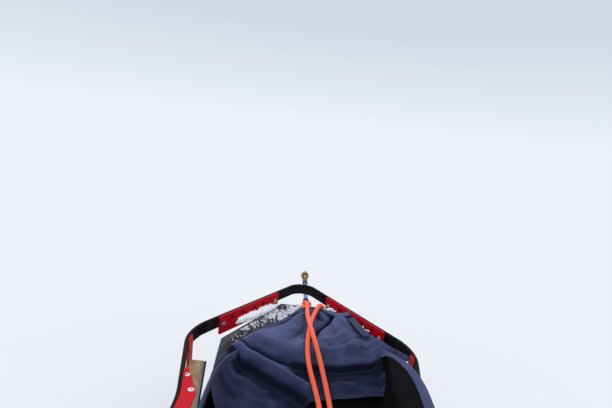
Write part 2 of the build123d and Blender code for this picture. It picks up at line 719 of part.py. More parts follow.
# Tow loop from the ring, under the bow, to the snap's eye
loop_back = Vector(at(RING[0] + RING_RADIUS), RING[1])
loop_front = Vector(at(SNAP_EYE[0] - EYE_RADIUS), SNAP_EYE[1])
loop_run = loop_front - loop_back
LOOP_PLANE = Plane(
    origin=(RING_X, loop_back.X, loop_back.Y),
    x_dir=(0, loop_run.X, loop_run.Y),
    z_dir=(0, -loop_run.Y, loop_run.X),
)
with BuildPart() as tow_loop:
    bend = RING_WIRE + LOOP_ROPE
    reach = loop_run.length
    with BuildLine(LOOP_PLANE) as racetrack:
        Line((0, -bend), (reach, -bend))
        CenterArc((reach, 0), bend, -90, 180)
        Line((reach, bend), (0, bend))
        CenterArc((0, 0), bend, 90, 180)
    with BuildSketch(Plane(origin=racetrack.line @ 0, z_dir=racetrack.line % 0)):
        Circle(LOOP_ROPE)
    sweep()
write(tow_loop, "tow_loop")

# Snap: a swivel eye, a round body and a hook
eye_y, eye_z = side_line([SNAP_EYE])[0]
hook_back = eye_y + EYE_RADIUS + SNAP_BODY
hook_front = at(LENGTH) - HOOK_WIRE
with BuildPart() as snap:
    with Locations(Location((RING_X, eye_y, eye_z), (0, 90, 0))):
        Torus(EYE_RADIUS, EYE_WIRE)
    collar_depth, collar_radius = SNAP_COLLAR
    collar_back = hook_back - collar_depth
    barrel_back = eye_y + EYE_RADIUS
    round_bar((RING_X, barrel_back, eye_z), (RING_X, collar_back, eye_z), BARREL_RADIUS)
    round_bar((RING_X, collar_back, eye_z), (RING_X, hook_back, eye_z), collar_radius)
    bend_start = hook_front - HOOK_HALF
    hook_root = hook_back - collar_depth / 2
    with BuildLine(Plane.YZ.offset(RING_X)) as hook:
        Line((hook_root, eye_z - HOOK_HALF), (bend_start, eye_z - HOOK_HALF))
        CenterArc((bend_start, eye_z), HOOK_HALF, -90, 180)
        Line((bend_start, eye_z + HOOK_HALF), (hook_root, eye_z + HOOK_HALF))
    with BuildSketch(Plane(origin=hook.line @ 0, z_dir=hook.line % 0)):
        Circle(HOOK_WIRE)
    sweep()
write(snap, "tow_snap")

# Hand rope: straight runs joined by arcs as large as the runs allow
route = [Vector(x, at(station), z) for x, station, z in HAND_ROUTE]
bends = []
for a, b, c in zip(route, route[1:], route[2:]):
    half_turn = radians((b - a).get_angle(c - b)) / 2
    bends.append(0.45 * min((b - a).length, (c - b).length) / tan(half_turn))
print("hand rope bends", [round(bend) for bend in bends])
with BuildPart() as hand_rope:
    with BuildLine() as rope_path:
        FilletPolyline(*route, radius=bends)
    with BuildSketch(Plane(origin=rope_path.line @ 0, z_dir=rope_path.line % 0)):
        Circle(HAND_ROPE)
    sweep()
rope_length = rope_path.wire().length
rope_volume = pi * HAND_ROPE**2 * rope_length
print("hand rope length", round(rope_length))
print("volume over section times length", round(hand_rope.part.volume / rope_volume, 3))
write(hand_rope, "hand_rope")
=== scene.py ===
"""Looks of the dog sled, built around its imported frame. Metres, +Y forward, +X right."""

import random
from math import cos, hypot, pi, radians, sin

import bpy
import numpy as np
from mathutils import Matrix, Vector, noise
from mathutils.bvhtree import BVHTree


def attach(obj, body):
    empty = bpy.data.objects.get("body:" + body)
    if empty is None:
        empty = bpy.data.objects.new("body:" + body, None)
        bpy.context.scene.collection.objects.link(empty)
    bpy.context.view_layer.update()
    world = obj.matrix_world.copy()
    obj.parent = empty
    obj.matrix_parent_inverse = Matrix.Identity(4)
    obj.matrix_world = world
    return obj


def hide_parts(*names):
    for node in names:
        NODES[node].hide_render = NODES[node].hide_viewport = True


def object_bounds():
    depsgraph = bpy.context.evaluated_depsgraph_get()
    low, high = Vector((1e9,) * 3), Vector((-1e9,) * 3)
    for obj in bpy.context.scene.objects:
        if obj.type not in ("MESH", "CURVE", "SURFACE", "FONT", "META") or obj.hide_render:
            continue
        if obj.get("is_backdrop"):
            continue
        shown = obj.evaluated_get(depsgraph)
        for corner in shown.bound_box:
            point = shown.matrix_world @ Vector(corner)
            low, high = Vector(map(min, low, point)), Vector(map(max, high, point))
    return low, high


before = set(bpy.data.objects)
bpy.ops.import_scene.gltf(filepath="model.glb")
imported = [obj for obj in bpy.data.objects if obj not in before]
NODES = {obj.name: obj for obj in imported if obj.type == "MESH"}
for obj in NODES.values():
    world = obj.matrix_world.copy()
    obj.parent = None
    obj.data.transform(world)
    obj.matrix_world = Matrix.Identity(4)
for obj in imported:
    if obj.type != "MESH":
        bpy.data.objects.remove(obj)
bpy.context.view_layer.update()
ROOT = "sled"

# A station is a distance forward of the runner tails
LENGTH = 2.890
MM = 0.001
ACROSS, AHEAD, UP = Vector((1, 0, 0)), Vector((0, 1, 0)), Vector((0, 0, 1))
SIDES = (-1, 1)


def place(x, station, z):
    """A point given in millimetres, as x, station and height."""
    return Vector((x * MM, station * MM - LENGTH / 2, z * MM))


def places(points, side=1):
    """Points given in millimetres, mirrored where side is -1."""
    return [place(side * x, station, z) for x, station, z in points]


def show(name, data):
    """A new object in the scene."""
    made = bpy.data.objects.new(name, data)
    bpy.context.scene.collection.objects.link(made)
    return made


# Camera, fitted to the bow in the photograph
CAMERA_PLACE = place(-52, 1376, 875)
PITCH, YAW, ROLL = radians(10.84), radians(1.64), radians(6.23)
LENS, SENSOR = 24, 36


def make_camera():
    """Camera with its own axes turned by pitch, yaw and roll."""
    ahead = Vector((sin(YAW) * cos(PITCH), cos(YAW) * cos(PITCH), -sin(PITCH)))
    level = Vector((cos(YAW), -sin(YAW), 0))
    above = level.cross(ahead)
    right = level * cos(ROLL) + above * sin(ROLL)
    up = above * cos(ROLL) - level * sin(ROLL)
    data = bpy.data.cameras.new("camera")
    data.lens, data.sensor_width = LENS, SENSOR
    camera = show("camera", data)
    turn = Matrix((right, up, -ahead)).transposed().to_4x4()
    camera.matrix_world = Matrix.Translation(CAMERA_PLACE) @ turn
    bpy.context.scene.camera = camera


make_camera()


# Meshes from arrays of points and lists of faces
def make_piece(name, points, faces, material, body=ROOT, uvs=None, smooth=True):
    """Mesh object that rides on a body."""
    mesh = bpy.data.meshes.new(name)
    mesh.from_pydata([tuple(p) for p in points], [], faces)
    mesh.validate()
    if uvs is not None:
        layer = mesh.uv_layers.new(name="UVMap")
        corners = [uvs[loop.vertex_index] for loop in mesh.loops]
        layer.data.foreach_set("uv", np.array(corners, np.float32).ravel())
    mesh.materials.append(material)
    if smooth:
        mesh.shade_smooth()
    piece = show(name, mesh)
    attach(piece, body)
    return piece


class Pile:
    """Points and faces of many small forms that become one piece."""

    def __init__(self):
        self.points, self.faces = [], []

    def add(self, points, faces, matrix=None):
        start = len(self.points)
        self.points += [matrix @ Vector(p) if matrix else Vector(p) for p in points]
        self.faces += [[start + i for i in face] for face in faces]

    def make(self, name, material, slot=None, body=ROOT, smooth=True):
        return make_piece(name, self.points, self.faces, material, body, smooth=smooth)


def grid_faces(rows, columns, closed=False, ends=None):
    """Quads of a grid, row by row. Rows can be closed, and their ends are open, capped or joined."""
    faces = []
    for i in range(rows if ends == "joined" else rows - 1):
        below = (i + 1) % rows
        for j in range(columns if closed else columns - 1):
            k = (j + 1) % columns
            faces.append([i * columns + j, i * columns + k, below * columns + k, below * columns + j])
    if ends == "capped":
        faces.append(list(range(columns))[::-1])
        faces.append([(rows - 1) * columns + k for k in range(columns)])
    return faces


def lathe(profile, sides, size=1, lift=0):
    """Capped form turned about Z from radius and height pairs in millimetres, raised and scaled."""
    points = []
    for radius, height in profile:
        for k in range(sides):
            turn = 2 * pi * k / sides
            points.append(Vector((radius * cos(turn), radius * sin(turn), height + lift)) * size * MM)
    return points, grid_faces(len(profile), sides, True, "capped")


def facing(origin, axis):
    """Matrix that puts local Z along an axis at a point."""
    turn = UP.rotation_difference(Vector(axis)).to_matrix().to_4x4()
    return Matrix.Translation(Vector(origin)) @ turn


def turned(pile, profile, origin, axis, sides, size=1, lift=0):
    """Adds a turned form that stands on a point along an axis."""
    pile.add(*lathe(profile, sides, size, lift), facing(origin, axis))


def along(points):
    """Unit ways, sideways vectors and distances of a line, turned as little as possible."""
    line = [Vector(p) for p in points]
    ways = [(b - a).normalized() for a, b in zip(line, line[1:])]
    ways.append(ways[-1].copy())
    side = ways[0].orthogonal().normalized()
    sides, distance, travelled = [side], 0.0, [0.0]
    for i in range(1, len(line)):
        side = ways[i - 1].rotation_difference(ways[i]) @ side
        side = (side - ways[i] * side.dot(ways[i])).normalized()
        distance += (line[i] - line[i - 1]).length
        sides.append(side)
        travelled.append(distance)
    return line, ways, sides, travelled


def tube(points, radius, sides=12, shape=None):
    """Points, faces and UVs of a tube; shape gives a factor for the radius from angle and distance."""
    line, ways, rights, travelled = along(points)
    rows, uvs = [], []
    for p, way, right, s in zip(line, ways, rights, travelled):
        up = way.cross(right)
        for k in range(sides):
            turn = 2 * pi * k / sides
            r = radius * (shape(turn, s) if shape else 1)
            rows.append(p + (right * cos(turn) + up * sin(turn)) * r)
            uvs.append((k / sides, s / (2 * pi * radius)))
    return rows, grid_faces(len(line), sides, True, "capped"), uvs


def smooth_line(points, closed=False, resolution=12):
    """Points read from a NURBS spline through a list of control points."""
    curve = bpy.data.curves.new("line", "CURVE")
    curve.dimensions = "3D"
    spline = curve.splines.new("NURBS")
    spline.points.add(len(points) - 1)
    for point, control in zip(spline.points, points):
        point.co = (*control, 1)
    spline.order_u = 3
    spline.use_endpoint_u = not closed
    spline.use_cyclic_u = closed
    spline.resolution_u = resolution
    holder = bpy.data.objects.new("line", curve)
    mesh = bpy.data.meshes.new_from_object(holder)
    read = [v.co.copy() for v in mesh.vertices]
    bpy.data.meshes.remove(mesh)
    bpy.data.objects.remove(holder)
    bpy.data.curves.remove(curve)
    return read


def spline_weights(controls, samples, degree=2):
    """Weights of a clamped B-spline's control points at even steps along it."""
    inner = np.linspace(0, 1, controls - degree + 1)
    knots = np.concatenate([np.zeros(degree), inner, np.ones(degree)])
    steps = np.linspace(0, 1 - 1e-9, samples)
    weights = [((low <= steps) & (steps < high)).astype(float) for low, high in zip(knots, knots[1:])]
    for d in range(1, degree + 1):
        raised = []
        for i in range(len(weights) - 1):
            below, above = knots[i + d] - knots[i], knots[i + d + 1] - knots[i + 1]
            total = weights[i] * (steps - knots[i]) / below if below else 0 * steps
            if above:
                total = total + weights[i + 1] * (knots[i + d + 1] - steps) / above
            raised.append(total)
        weights = raised
    return np.array(weights).T


def spline_surface(net, rows, columns):
    """Grid of points on a B-spline surface over a net of control points."""
    net = np.array(net, float)
    down = spline_weights(net.shape[0], rows)
    across = spline_weights(net.shape[1], columns)
    return np.einsum("im,jn,mnk->ijk", down, across, net)


def metres(grid):
    """Points given as x, station and height in millimetres, in metres."""
    moved = np.array(grid, float) * MM
    moved[..., 1] -= LENGTH / 2
    return moved


def unit(vectors):
    """Vectors of an array, each of length one."""
    return vectors / np.linalg.norm(vectors, axis=-1, keepdims=True)


def distances(line):
    """How far each point is along a line."""
    return np.concatenate([[0], np.cumsum(np.linalg.norm(np.diff(line, axis=0), axis=1))])


def read_at(marks, travelled, columns):
    """The values of an array's columns at distances along its line."""
    return np.array([np.interp(marks, travelled, column) for column in columns.T]).T


def even(line, count):
    """Points at even distances along a line of points."""
    line = np.array([tuple(p) for p in line], float)
    travelled = distances(line[:, :3])
    return read_at(np.linspace(0, travelled[-1], count), travelled, line)


def even_rows(grid, count):
    """A grid with its rows spaced evenly along its middle column."""
    middle = grid[:, grid.shape[1] // 2]
    columns = [np.concatenate([middle, grid[:, j]], axis=1) for j in range(grid.shape[1])]
    return np.stack([even(column, count)[:, 3:] for column in columns], axis=1)


def set_painted_light(piece, painted_light):
    """Painted light and shade of each point, 1 for a painted highlight on ridges and -1 for painted shade in
    creases.
    """
    layer = piece.data.attributes.new("painted_light", "FLOAT", "POINT")
    layer.data.foreach_set("value", painted_light.astype(np.float32).ravel())


def cloth_piece(name, grid, materials, thick):
    """Sheet of cloth from a grid in millimetres; its back takes the last material."""
    rows, columns = grid.shape[:2]
    across = np.linalg.norm(np.diff(grid, axis=1), axis=2)
    u = np.concatenate([np.zeros((rows, 1)), np.cumsum(across, axis=1)], axis=1)
    u -= u[:, columns // 2][:, None]
    v = np.repeat(distances(grid[:, columns // 2])[:, None], columns, axis=1)
    uvs = np.stack([u * MM, v * MM], axis=2).reshape(-1, 2)
    points, faces = metres(grid).reshape(-1, 3), grid_faces(rows, columns)
    piece = make_piece(name, points, faces, materials[0], uvs=uvs)
    for extra in materials[1:]:
        piece.data.materials.append(extra)
    shell = piece.modifiers.new("thickness", "SOLIDIFY")
    shell.thickness, shell.offset = thick * MM, -1
    shell.material_offset = len(materials) - 1
    return piece


def grid_normals(grid):
    """Unit normals of a grid of points."""
    normals = np.cross(np.gradient(grid, axis=1), np.gradient(grid, axis=0))
    return normals / np.maximum(np.linalg.norm(normals, axis=2, keepdims=True), 1e-9)


def ripple(grid, scale, seed=0.0):
    """Noise from -1 to 1 at each point of a grid; scale is in millimetres."""
    flat = grid.reshape(-1, 3) / scale
    values = [noise.noise(Vector((x + seed, y, z))) for x, y, z in flat]
    return np.array(values).reshape(grid.shape[:2])


# Shader helpers
def shader(name):
    """A new material and its node tree."""
    material = bpy.data.materials.new(name)
    material.use_nodes = True
    return material, material.node_tree


def node(tree, kind, inputs=(), **settings):
    """A node with its inputs set, or linked where the value is a socket."""
    made = tree.nodes.new(kind)
    for key, value in settings.items():
        setattr(made, key, value)
    for key, value in dict(inputs).items():
        if isinstance(value, bpy.types.NodeSocket):
            tree.links.new(value, made.inputs[key])
        else:
            made.inputs[key].default_value = value
    return made


def coordinates(tree, stretch=(1, 1, 1), source="Object"):
    """Object or UV coordinates, scaled along each axis."""
    base = node(tree, "ShaderNodeTexCoord").outputs[source]
    return node(tree, "ShaderNodeMapping", {"Vector": base, "Scale": stretch}).outputs["Vector"]


def drawn_out(tree, axis, share):
    """Object coordinates that draw a pattern out along one axis."""
    return coordinates(tree, [share if k == axis else 1.0 for k in range(3)])


def speckle(tree, vector, scale, detail=3.0, roughness=0.55, distortion=0.0):
    """Noise value from 0 to 1."""
    inputs = {"Vector": vector, "Scale": scale, "Detail": detail, "Roughness": roughness}
    inputs["Distortion"] = distortion
    return node(tree, "ShaderNodeTexNoise", inputs).outputs["Fac"]


def span(tree, value, low, high, to_low=0.0, to_high=1.0):
    """A value mapped from one range to another and clamped."""
    inputs = {"Value": value, "From Min": low, "From Max": high, "To Min": to_low, "To Max": to_high}
    return node(tree, "ShaderNodeMapRange", inputs).outputs["Result"]


def maths(tree, operation, a, b=0.0):
    """One arithmetic step on values."""
    return node(tree, "ShaderNodeMath", {0: a, 1: b}, operation=operation).outputs[0]


def mix(tree, share, a, b):
    """A colour mixed from two."""
    a, b = (c if isinstance(c, bpy.types.NodeSocket) else (*c, 1) for c in (a, b))
    return node(tree, "ShaderNodeMix", {0: share, 6: a, 7: b}, data_type="RGBA").outputs[2]


def layered(tree, shade, *layers):
    """A colour under others, each as strong as a value is in a range: low, high, to low, to high."""
    for value, limits, colour in layers:
        shade = mix(tree, span(tree, value, *limits), shade, colour)
    return shade


def bump(tree, height, strength, distance, below=None):
    """Normal from a height, over another bump if given."""
    inputs = {"Height": height, "Strength": strength, "Distance": distance}
    if below:
        inputs["Normal"] = below
    return node(tree, "ShaderNodeBump", inputs).outputs["Normal"]


def tint(colour, factor, lift=0.0):
    """A colour made darker or paler."""
    return tuple(min(1.0, factor * c + lift) for c in colour)


def finish_shader(material, colour, rough, normal=None, **fixed):
    """Links colour, roughness and normal, sets the other inputs and gives the material back."""
    tree = material.node_tree
    surface = tree.nodes["Principled BSDF"]
    for key, value in (("Base Color", colour), ("Roughness", rough), ("Normal", normal)):
        if isinstance(value, bpy.types.NodeSocket):
            tree.links.new(value, surface.inputs[key])
        elif value is not None:
            surface.inputs[key].default_value = value
    for key, value in fixed.items():
        surface.inputs[key.replace("_", " ").title().replace("Ior", "IOR")].default_value = value
    return material


# Materials
def ash(name, grain):
    """Oiled ash with its grain along axis number grain."""
    material, tree = shader(name)
    fibre = drawn_out(tree, grain, 0.035)
    rings = speckle(tree, fibre, 90, 5, 0.6, 0.3)
    pores = speckle(tree, fibre, 420, 2, 0.5)
    broad = speckle(tree, coordinates(tree), 5, 2)
    wood = layered(
        tree, (0.66, 0.45, 0.25),
        (rings, (0.36, 0.64), (0.44, 0.26, 0.12)),
        (pores, (0.56, 0.72, 0, 0.55), (0.22, 0.12, 0.055)),
        (broad, (0.35, 0.7, 0, 0.35), (0.40, 0.27, 0.16)),
    )
    rough = span(tree, rings, 0.3, 0.7, 0.38, 0.56)
    normal = bump(tree, pores, 0.25, 0.0006)
    return finish_shader(material, wood, rough, normal, coat_weight=0.25, coat_roughness=0.28)


def metal(name, colour, rough, brush=1, dirt=0.3):
    """Brushed metal with worn and dull patches; brush is the axis that the lines follow."""
    material, tree = shader(name)
    lines = speckle(tree, drawn_out(tree, brush, 0.03), 900, 2)
    patches = speckle(tree, coordinates(tree), 28, 4, 0.65)
    shade = layered(tree, colour, (patches, (0.5, 0.75, 0, dirt), tint(colour, 0.45)))
    rough_map = span(tree, patches, 0.3, 0.7, rough, rough + 0.22)
    normal = bump(tree, lines, 0.12, 0.0003)
    return finish_shader(material, shade, rough_map, normal, metallic=1.0)


def plastic(name, colour, rough, frost=0.0, scratches=1, gloss=0.3):
    """Plastic with fine scratches along one axis and a bloom of frost."""
    material, tree = shader(name)
    lines = speckle(tree, drawn_out(tree, scratches, 0.05), 260, 4, 0.7)
    patches = speckle(tree, coordinates(tree), 17, 5, 0.7)
    grains = speckle(tree, coordinates(tree), 600, 2)
    shade = layered(tree, colour, (lines, (0.58, 0.75, 0, 0.5), tint(colour, 2.2, 0.02)))
    rimed = maths(tree, "MULTIPLY", span(tree, patches, 0.5, 0.72), span(tree, grains, 0.42, 0.62))
    shade = mix(tree, maths(tree, "MULTIPLY", rimed, frost), shade, (0.72, 0.76, 0.83))
    rough_map = span(tree, patches, 0.3, 0.7, rough, rough + 0.2)
    normal = bump(tree, lines, 0.15, 0.0004)
    return finish_shader(material, shade, rough_map, normal, specular_ior_level=gloss)


def coated_red(name):
    """Red coated plate, scuffed, with powdery snow caught on it."""
    material, tree = shader(name)
    spot = coordinates(tree)
    patches = speckle(tree, spot, 24, 5, 0.7)
    grains = speckle(tree, spot, 700, 3, 0.6)
    fine = speckle(tree, spot, 150, 3, 0.6)
    scuffed = layered(
        tree, (0.60, 0.006, 0.018),
        (patches, (0.35, 0.7), (0.46, 0.005, 0.014)),
        (fine, (0.62, 0.76, 0, 0.6), (0.22, 0.02, 0.025)),
    )
    dusted = maths(tree, "MULTIPLY", span(tree, patches, 0.52, 0.7), span(tree, grains, 0.55, 0.66))
    shade = mix(tree, maths(tree, "MULTIPLY", dusted, 0.12), scuffed, (0.84, 0.87, 0.93))
    rough = span(tree, fine, 0.35, 0.7, 0.42, 0.6)
    return finish_shader(material, shade, rough, bump(tree, fine, 0.12, 0.0004), specular_ior_level=0.08)


def canvas(name, colour, thread=1.1, sheen=0.35, faded=1.45, fluff=0.35, gloss=0.1):
    """Woven canvas: threads from the UVs, which are in metres, painted highlights on ridges and painted
    shade in creases.
    """
    material, tree = shader(name)
    waves = {"Vector": coordinates(tree, (1 / (thread * MM),) * 3, "UV"), "Scale": 0.159, "Distortion": 0.25}
    warp, weft = (node(tree, "ShaderNodeTexWave", waves, bands_direction=way).outputs["Fac"] for way in "XY")
    weave = maths(tree, "MULTIPLY", warp, weft)
    spot = coordinates(tree)
    broad = speckle(tree, spot, 9, 4, 0.6)
    crumple = speckle(tree, spot, 46, 5, 0.62, 0.6)
    lint = speckle(tree, spot, 900, 2)
    dark = tint(colour, 0.62)
    # Near-black colour of the painted shade in creases
    painted_shade_colour = (colour[0] * 0.05, colour[1] * 0.05, colour[2] * 0.12)
    painted_light_share = node(tree, "ShaderNodeAttribute", attribute_name="painted_light").outputs["Fac"]
    shade = layered(
        tree, colour,
        (broad, (0.3, 0.7), tint(colour, faded + 0.2)),
        (crumple, (0.35, 0.6, 0.35, 0), dark),
        (weave, (0.1, 0.6, 0.4, 0), dark),
        (lint, (0.68, 0.8, 0, fluff), (0.55, 0.58, 0.66)),
        # Painted highlight where the per-point attribute is above 0, painted shade where it is below 0
        (painted_light_share, (0, 1, 0, 0.55), tint(colour, 1.9, 0.02)),
        (painted_light_share, (0, -1, 0, 0.94), painted_shade_colour),
    )
    normal = bump(tree, weave, 0.35, 0.0004, bump(tree, crumple, 0.75, 0.006))
    rough = span(tree, broad, 0.3, 0.7, 0.78, 0.92)
    return finish_shader(material, shade, rough, normal, sheen_weight=sheen, sheen_roughness=0.5,
                         specular_ior_level=gloss)


def braid(name, colour, fleck, strands=8, fleck_share=0.5, painted_glow=0.0):
    """Braided rope: crossing strands from the UVs, fleck in every other one, and a glow in its own colour
    from its emission as painted light.
    """
    material, tree = shader(name)
    uv = node(tree, "ShaderNodeTexCoord").outputs["UV"]
    split = node(tree, "ShaderNodeSeparateXYZ", {0: uv})
    turn = maths(tree, "MULTIPLY", split.outputs[0], strands)
    run = maths(tree, "MULTIPLY", split.outputs[1], strands / 2)
    left, right = (maths(tree, "FRACT", maths(tree, how, turn, run)) for how in ("ADD", "SUBTRACT"))
    middles = [maths(tree, "ABSOLUTE", maths(tree, "SUBTRACT", way, 0.5)) for way in (left, right)]
    gap = maths(tree, "MAXIMUM", *(span(tree, middle, 0.32, 0.5) for middle in middles))
    fuzz = speckle(tree, coordinates(tree), 1400, 3)
    soil = speckle(tree, coordinates(tree), 30, 4)
    marked = maths(tree, "MULTIPLY", maths(tree, "GREATER_THAN", left, 0.5), fleck_share)
    shade = layered(
        tree, mix(tree, marked, colour, fleck),
        (fuzz, (0.45, 0.7, 0, 0.3), tint(colour, 1.3, 0.05)),
        (soil, (0.5, 0.75, 0, 0.18), tint(colour, 0.6)),
        # Painted shade in the grooves between strands
        (gap, (0, 1, 0, 0.6), tint(colour, 0.42)),
    )
    normal = bump(tree, maths(tree, "SUBTRACT", 1.0, gap), 0.6, 0.0009)
    normal = bump(tree, fuzz, 0.25, 0.0004, normal)
    # The emission makes the rope glow in its own colour as painted light
    return finish_shader(material, shade, 0.82, normal, sheen_weight=0.12, sheen_roughness=0.45,
                         specular_ior_level=0.2, emission_color=(*colour, 1), emission_strength=painted_glow)


def snow(name, bright=(0.97, 0.98, 1.0), dull=(0.90, 0.93, 0.98), painted_glow=0.14):
    """Packed crystals; their emission, when set above 0, makes them glow as painted light."""
    material, tree = shader(name)
    spot = coordinates(tree)
    grains = speckle(tree, spot, 420, 4, 0.7)
    broad = speckle(tree, spot, 60, 3)
    shade = layered(tree, bright, (broad, (0.3, 0.7), dull), (grains, (0.4, 0.6, 0.5, 0), dull))
    normal = bump(tree, grains, 0.6, 0.0012)
    return finish_shader(material, shade, 0.62, normal, subsurface_weight=0.25, subsurface_scale=0.004,
                         emission_color=(1, 1, 1, 1), emission_strength=painted_glow)


ASH = [ash(f"ash_{axis}", i) for i, axis in enumerate("xyz")]
ALUMINIUM = metal("aluminium", (0.62, 0.63, 0.65), 0.3)
BARE_STEEL = metal("bare_steel", (0.46, 0.47, 0.49), 0.28)
DARK_STEEL = metal("dark_steel", (0.13, 0.13, 0.14), 0.38)
BRONZE = metal("bronze", (0.42, 0.27, 0.12), 0.36, dirt=0.6)
SOLE = plastic("sole_plastic", (0.012, 0.012, 0.014), 0.4)
BOW = plastic("bow_plastic", (0.0058, 0.0050, 0.0064), 0.6, frost=0.05, gloss=0.12)
BED = plastic("bed_plastic", (0.036, 0.034, 0.046), 0.5, frost=0.2)
RUBBER = plastic("rubber", (0.016, 0.016, 0.017), 0.62)
THREAD = plastic("thread", (0.16, 0.17, 0.24), 0.7)
PALE = plastic("pale_washer", (0.86, 0.89, 0.92), 0.45)
RED = coated_red("red_plate")
NAVY = canvas("navy_canvas", (0.051, 0.062, 0.142), sheen=0.06)
# Black lining cloth, darkened past black cloth to near black as painted shade inside the bag
SHADED_BLACK_LINING = canvas("black_lining_painted_shade", (0.0045, 0.0045, 0.006), thread=0.8, sheen=0.0, faded=0.6, fluff=0.03,
                gloss=0.06)
STRAP = canvas("strap", (0.042, 0.049, 0.102), thread=2.8, sheen=0.1, fluff=0.6)
PAD = canvas("pad_fabric", (0.024, 0.025, 0.031), thread=0.9, sheen=0.25)
# The orange rope glows faintly as painted light
ORANGE = braid("orange_rope", (1.0, 0.135, 0.06), (1.0, 0.27, 0.17), painted_glow=0.17)
BLUE = braid("blue_rope", (0.03, 0.13, 0.48), (0.36, 0.46, 0.64), strands=4, fleck_share=0.55)
DARK_ROPE = braid("dark_rope", (0.02, 0.02, 0.023), (0.07, 0.07, 0.08), strands=6)
SNOW = snow("snow")
FROST = snow("thin_snow", (0.90, 0.92, 0.97), (0.55, 0.56, 0.62), 0.0)

# Which material each CAD node that stays gets
FINISHES = {
    "runner": ASH[1], "side_rail": ASH[1], "stanchion_front": ASH[2], "stanchion_mid": ASH[2],
    "cross_bar": ASH[0], "handlebar_slat": ASH[0], "handlebar_grip": RUBBER, "handlebar_socket": ALUMINIUM,
    "handlebar": ASH[2], "runner_rail": ALUMINIUM, "foot_brackets": ALUMINIUM, "runner_sole": SOLE,
    "brush_bow": BOW, "bed_sheet": BED, "front_plate": RED, "side_plate": RED, "tip_plate": RED,
    "foot_pad": RUBBER, "drag_mat": RUBBER, "brake_axle": DARK_STEEL, "brake_springs": DARK_STEEL,
    "tow_ring": DARK_STEEL, "drag_mat_arms": DARK_STEEL, "stay": BARE_STEEL, "brake_frame": BARE_STEEL,
    "brake_claws": BARE_STEEL, "tow_snap": BRONZE,
}
for node_name, part in NODES.items():
    matches = [key for key in FINISHES if node_name.startswith(key)]
    if matches:
        part.data.materials.clear()
        part.data.materials.append(FINISHES[max(matches, key=len)])

# Hand rope: x, station, height in millimetres, from the ring round its bight and back
HAND_ROUTE = [
    (16, 2520, 355), (16, 2474, 364), (14, 2424, 368), (17, 2372, 375), (24, 2318, 374),
    (40, 2272, 349), (60, 2222, 303), (78, 2158, 258), (90, 2090, 213), (93, 2028, 171),
    (82, 1965, 141), (66, 1880, 139), (58, 1790, 139), (64, 1705, 139), (66, 1650, 139),
    (58, 1604, 139), (27, 1572, 139), (-14, 1573, 139), (-40, 1608, 139), (-38, 1656, 139),
    (-22, 1724, 139), (-24, 1805, 139), (-6, 1890, 139),
    (22, 1968, 142), (46, 2034, 174), (58, 2104, 220), (53, 2166, 262), (36, 2214, 294),
    (20, 2256, 322), (15, 2300, 345), (19, 2350, 359), (26, 2400, 362), (38, 2446, 365),
    (51, 2484, 374), (64, 2511, 350),
]
HAND_ROPE = 0.006


def make_rope(name, line, radius, material, sides, plaits=8, depth=0.12):
    """A rope along a line, whose strands cross in diamonds that stand out by a share of its radius."""
    def shape(turn, s):
        run = s / radius / 2
        left = abs(sin((turn + run) * plaits / 2))
        right = abs(sin((turn - run) * plaits / 2))
        return 1 - depth * (1 - (left * right) ** 0.6)

    points, faces, uvs = tube(line, radius, sides, shape)
    return make_piece(name, points, faces, material, uvs=uvs)


rope_line = smooth_line(places(HAND_ROUTE), resolution=36)
hand_rope = make_rope("hand_rope_braid", rope_line, HAND_ROPE, ORANGE, 24)
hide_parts("hand_rope")

ROPE_PLACES = np.array([tuple(p) for p in rope_line]) / MM + np.array([0, LENGTH / 2 / MM, 0])


def under_rope(grid):
    """Holds a grid's heights down where the hand rope lies on it."""
    radius = HAND_ROPE / MM
    for row in grid:
        away = ((row[:, None, :2] - ROPE_PLACES[:, :2]) ** 2).sum(axis=2)
        allowed = (ROPE_PLACES[:, 2] - radius + 0.4 * away / radius).min(axis=1)
        row[:, 2] = np.minimum(row[:, 2], allowed)


# Canvas bag: sections from the handlebar forward; the right rim laps over the bow's tail
BAG_SECTIONS = (
    # rim station, floor station, left rim x, z, left corner x, floor z, right corner x, right rim x, z
    (798, 867, -186, 422, -183, 131, 183, 186, 422),
    (900, 930, -186, 416, -183, 131, 183, 186, 416),
    (1300, 1300, -187, 394, -184, 131, 184, 187, 394),
    (1700, 1700, -187, 372, -184, 131, 184, 187, 372),
    (1900, 1900, -187, 361, -184, 131, 184, 187, 361),
    (1940, 1935, -187, 359, -184, 131, 184, 187, 366),
    (1958, 1952, -187, 358, -184, 131, 184, 188, 386),
    (1972, 1968, -187, 357, -184, 132, 184, 190, 395),
    (1988, 1985, -187, 356, -184, 136, 184, 222, 396),
    (2012, 2010, -187, 355, -184, 148, 184, 240, 393),
    (2040, 2036, -187, 354, -184, 164, 184, 243, 391),
    (2112, 2100, -187, 350, -182, 207, 182, 247, 390),
    (2180, 2170, -184, 343, -180, 250, 188, 240, 384),
    (2240, 2230, -168, 336, -166, 280, 206, 224, 372),
    (2290, 2285, -138, 330, -136, 312, 190, 198, 358),
    (2350, 2350, -90, 332, -88, 320, 154, 160, 350),
    (2420, 2420, -28, 334, -27, 327, 106, 110, 344),
)
RIM_STATIONS, FLOOR_STATIONS, RIM_HEIGHTS, FLOOR_HEIGHTS = (
    [row[k] for row in BAG_SECTIONS] for k in (0, 1, 3, 5))
BAG_ROWS, BAG_COLUMNS = 190, 96
BAG_THICK = 2.4
WALL_ROUND = 30
LAP_FROM, LAP_X = 203, 185


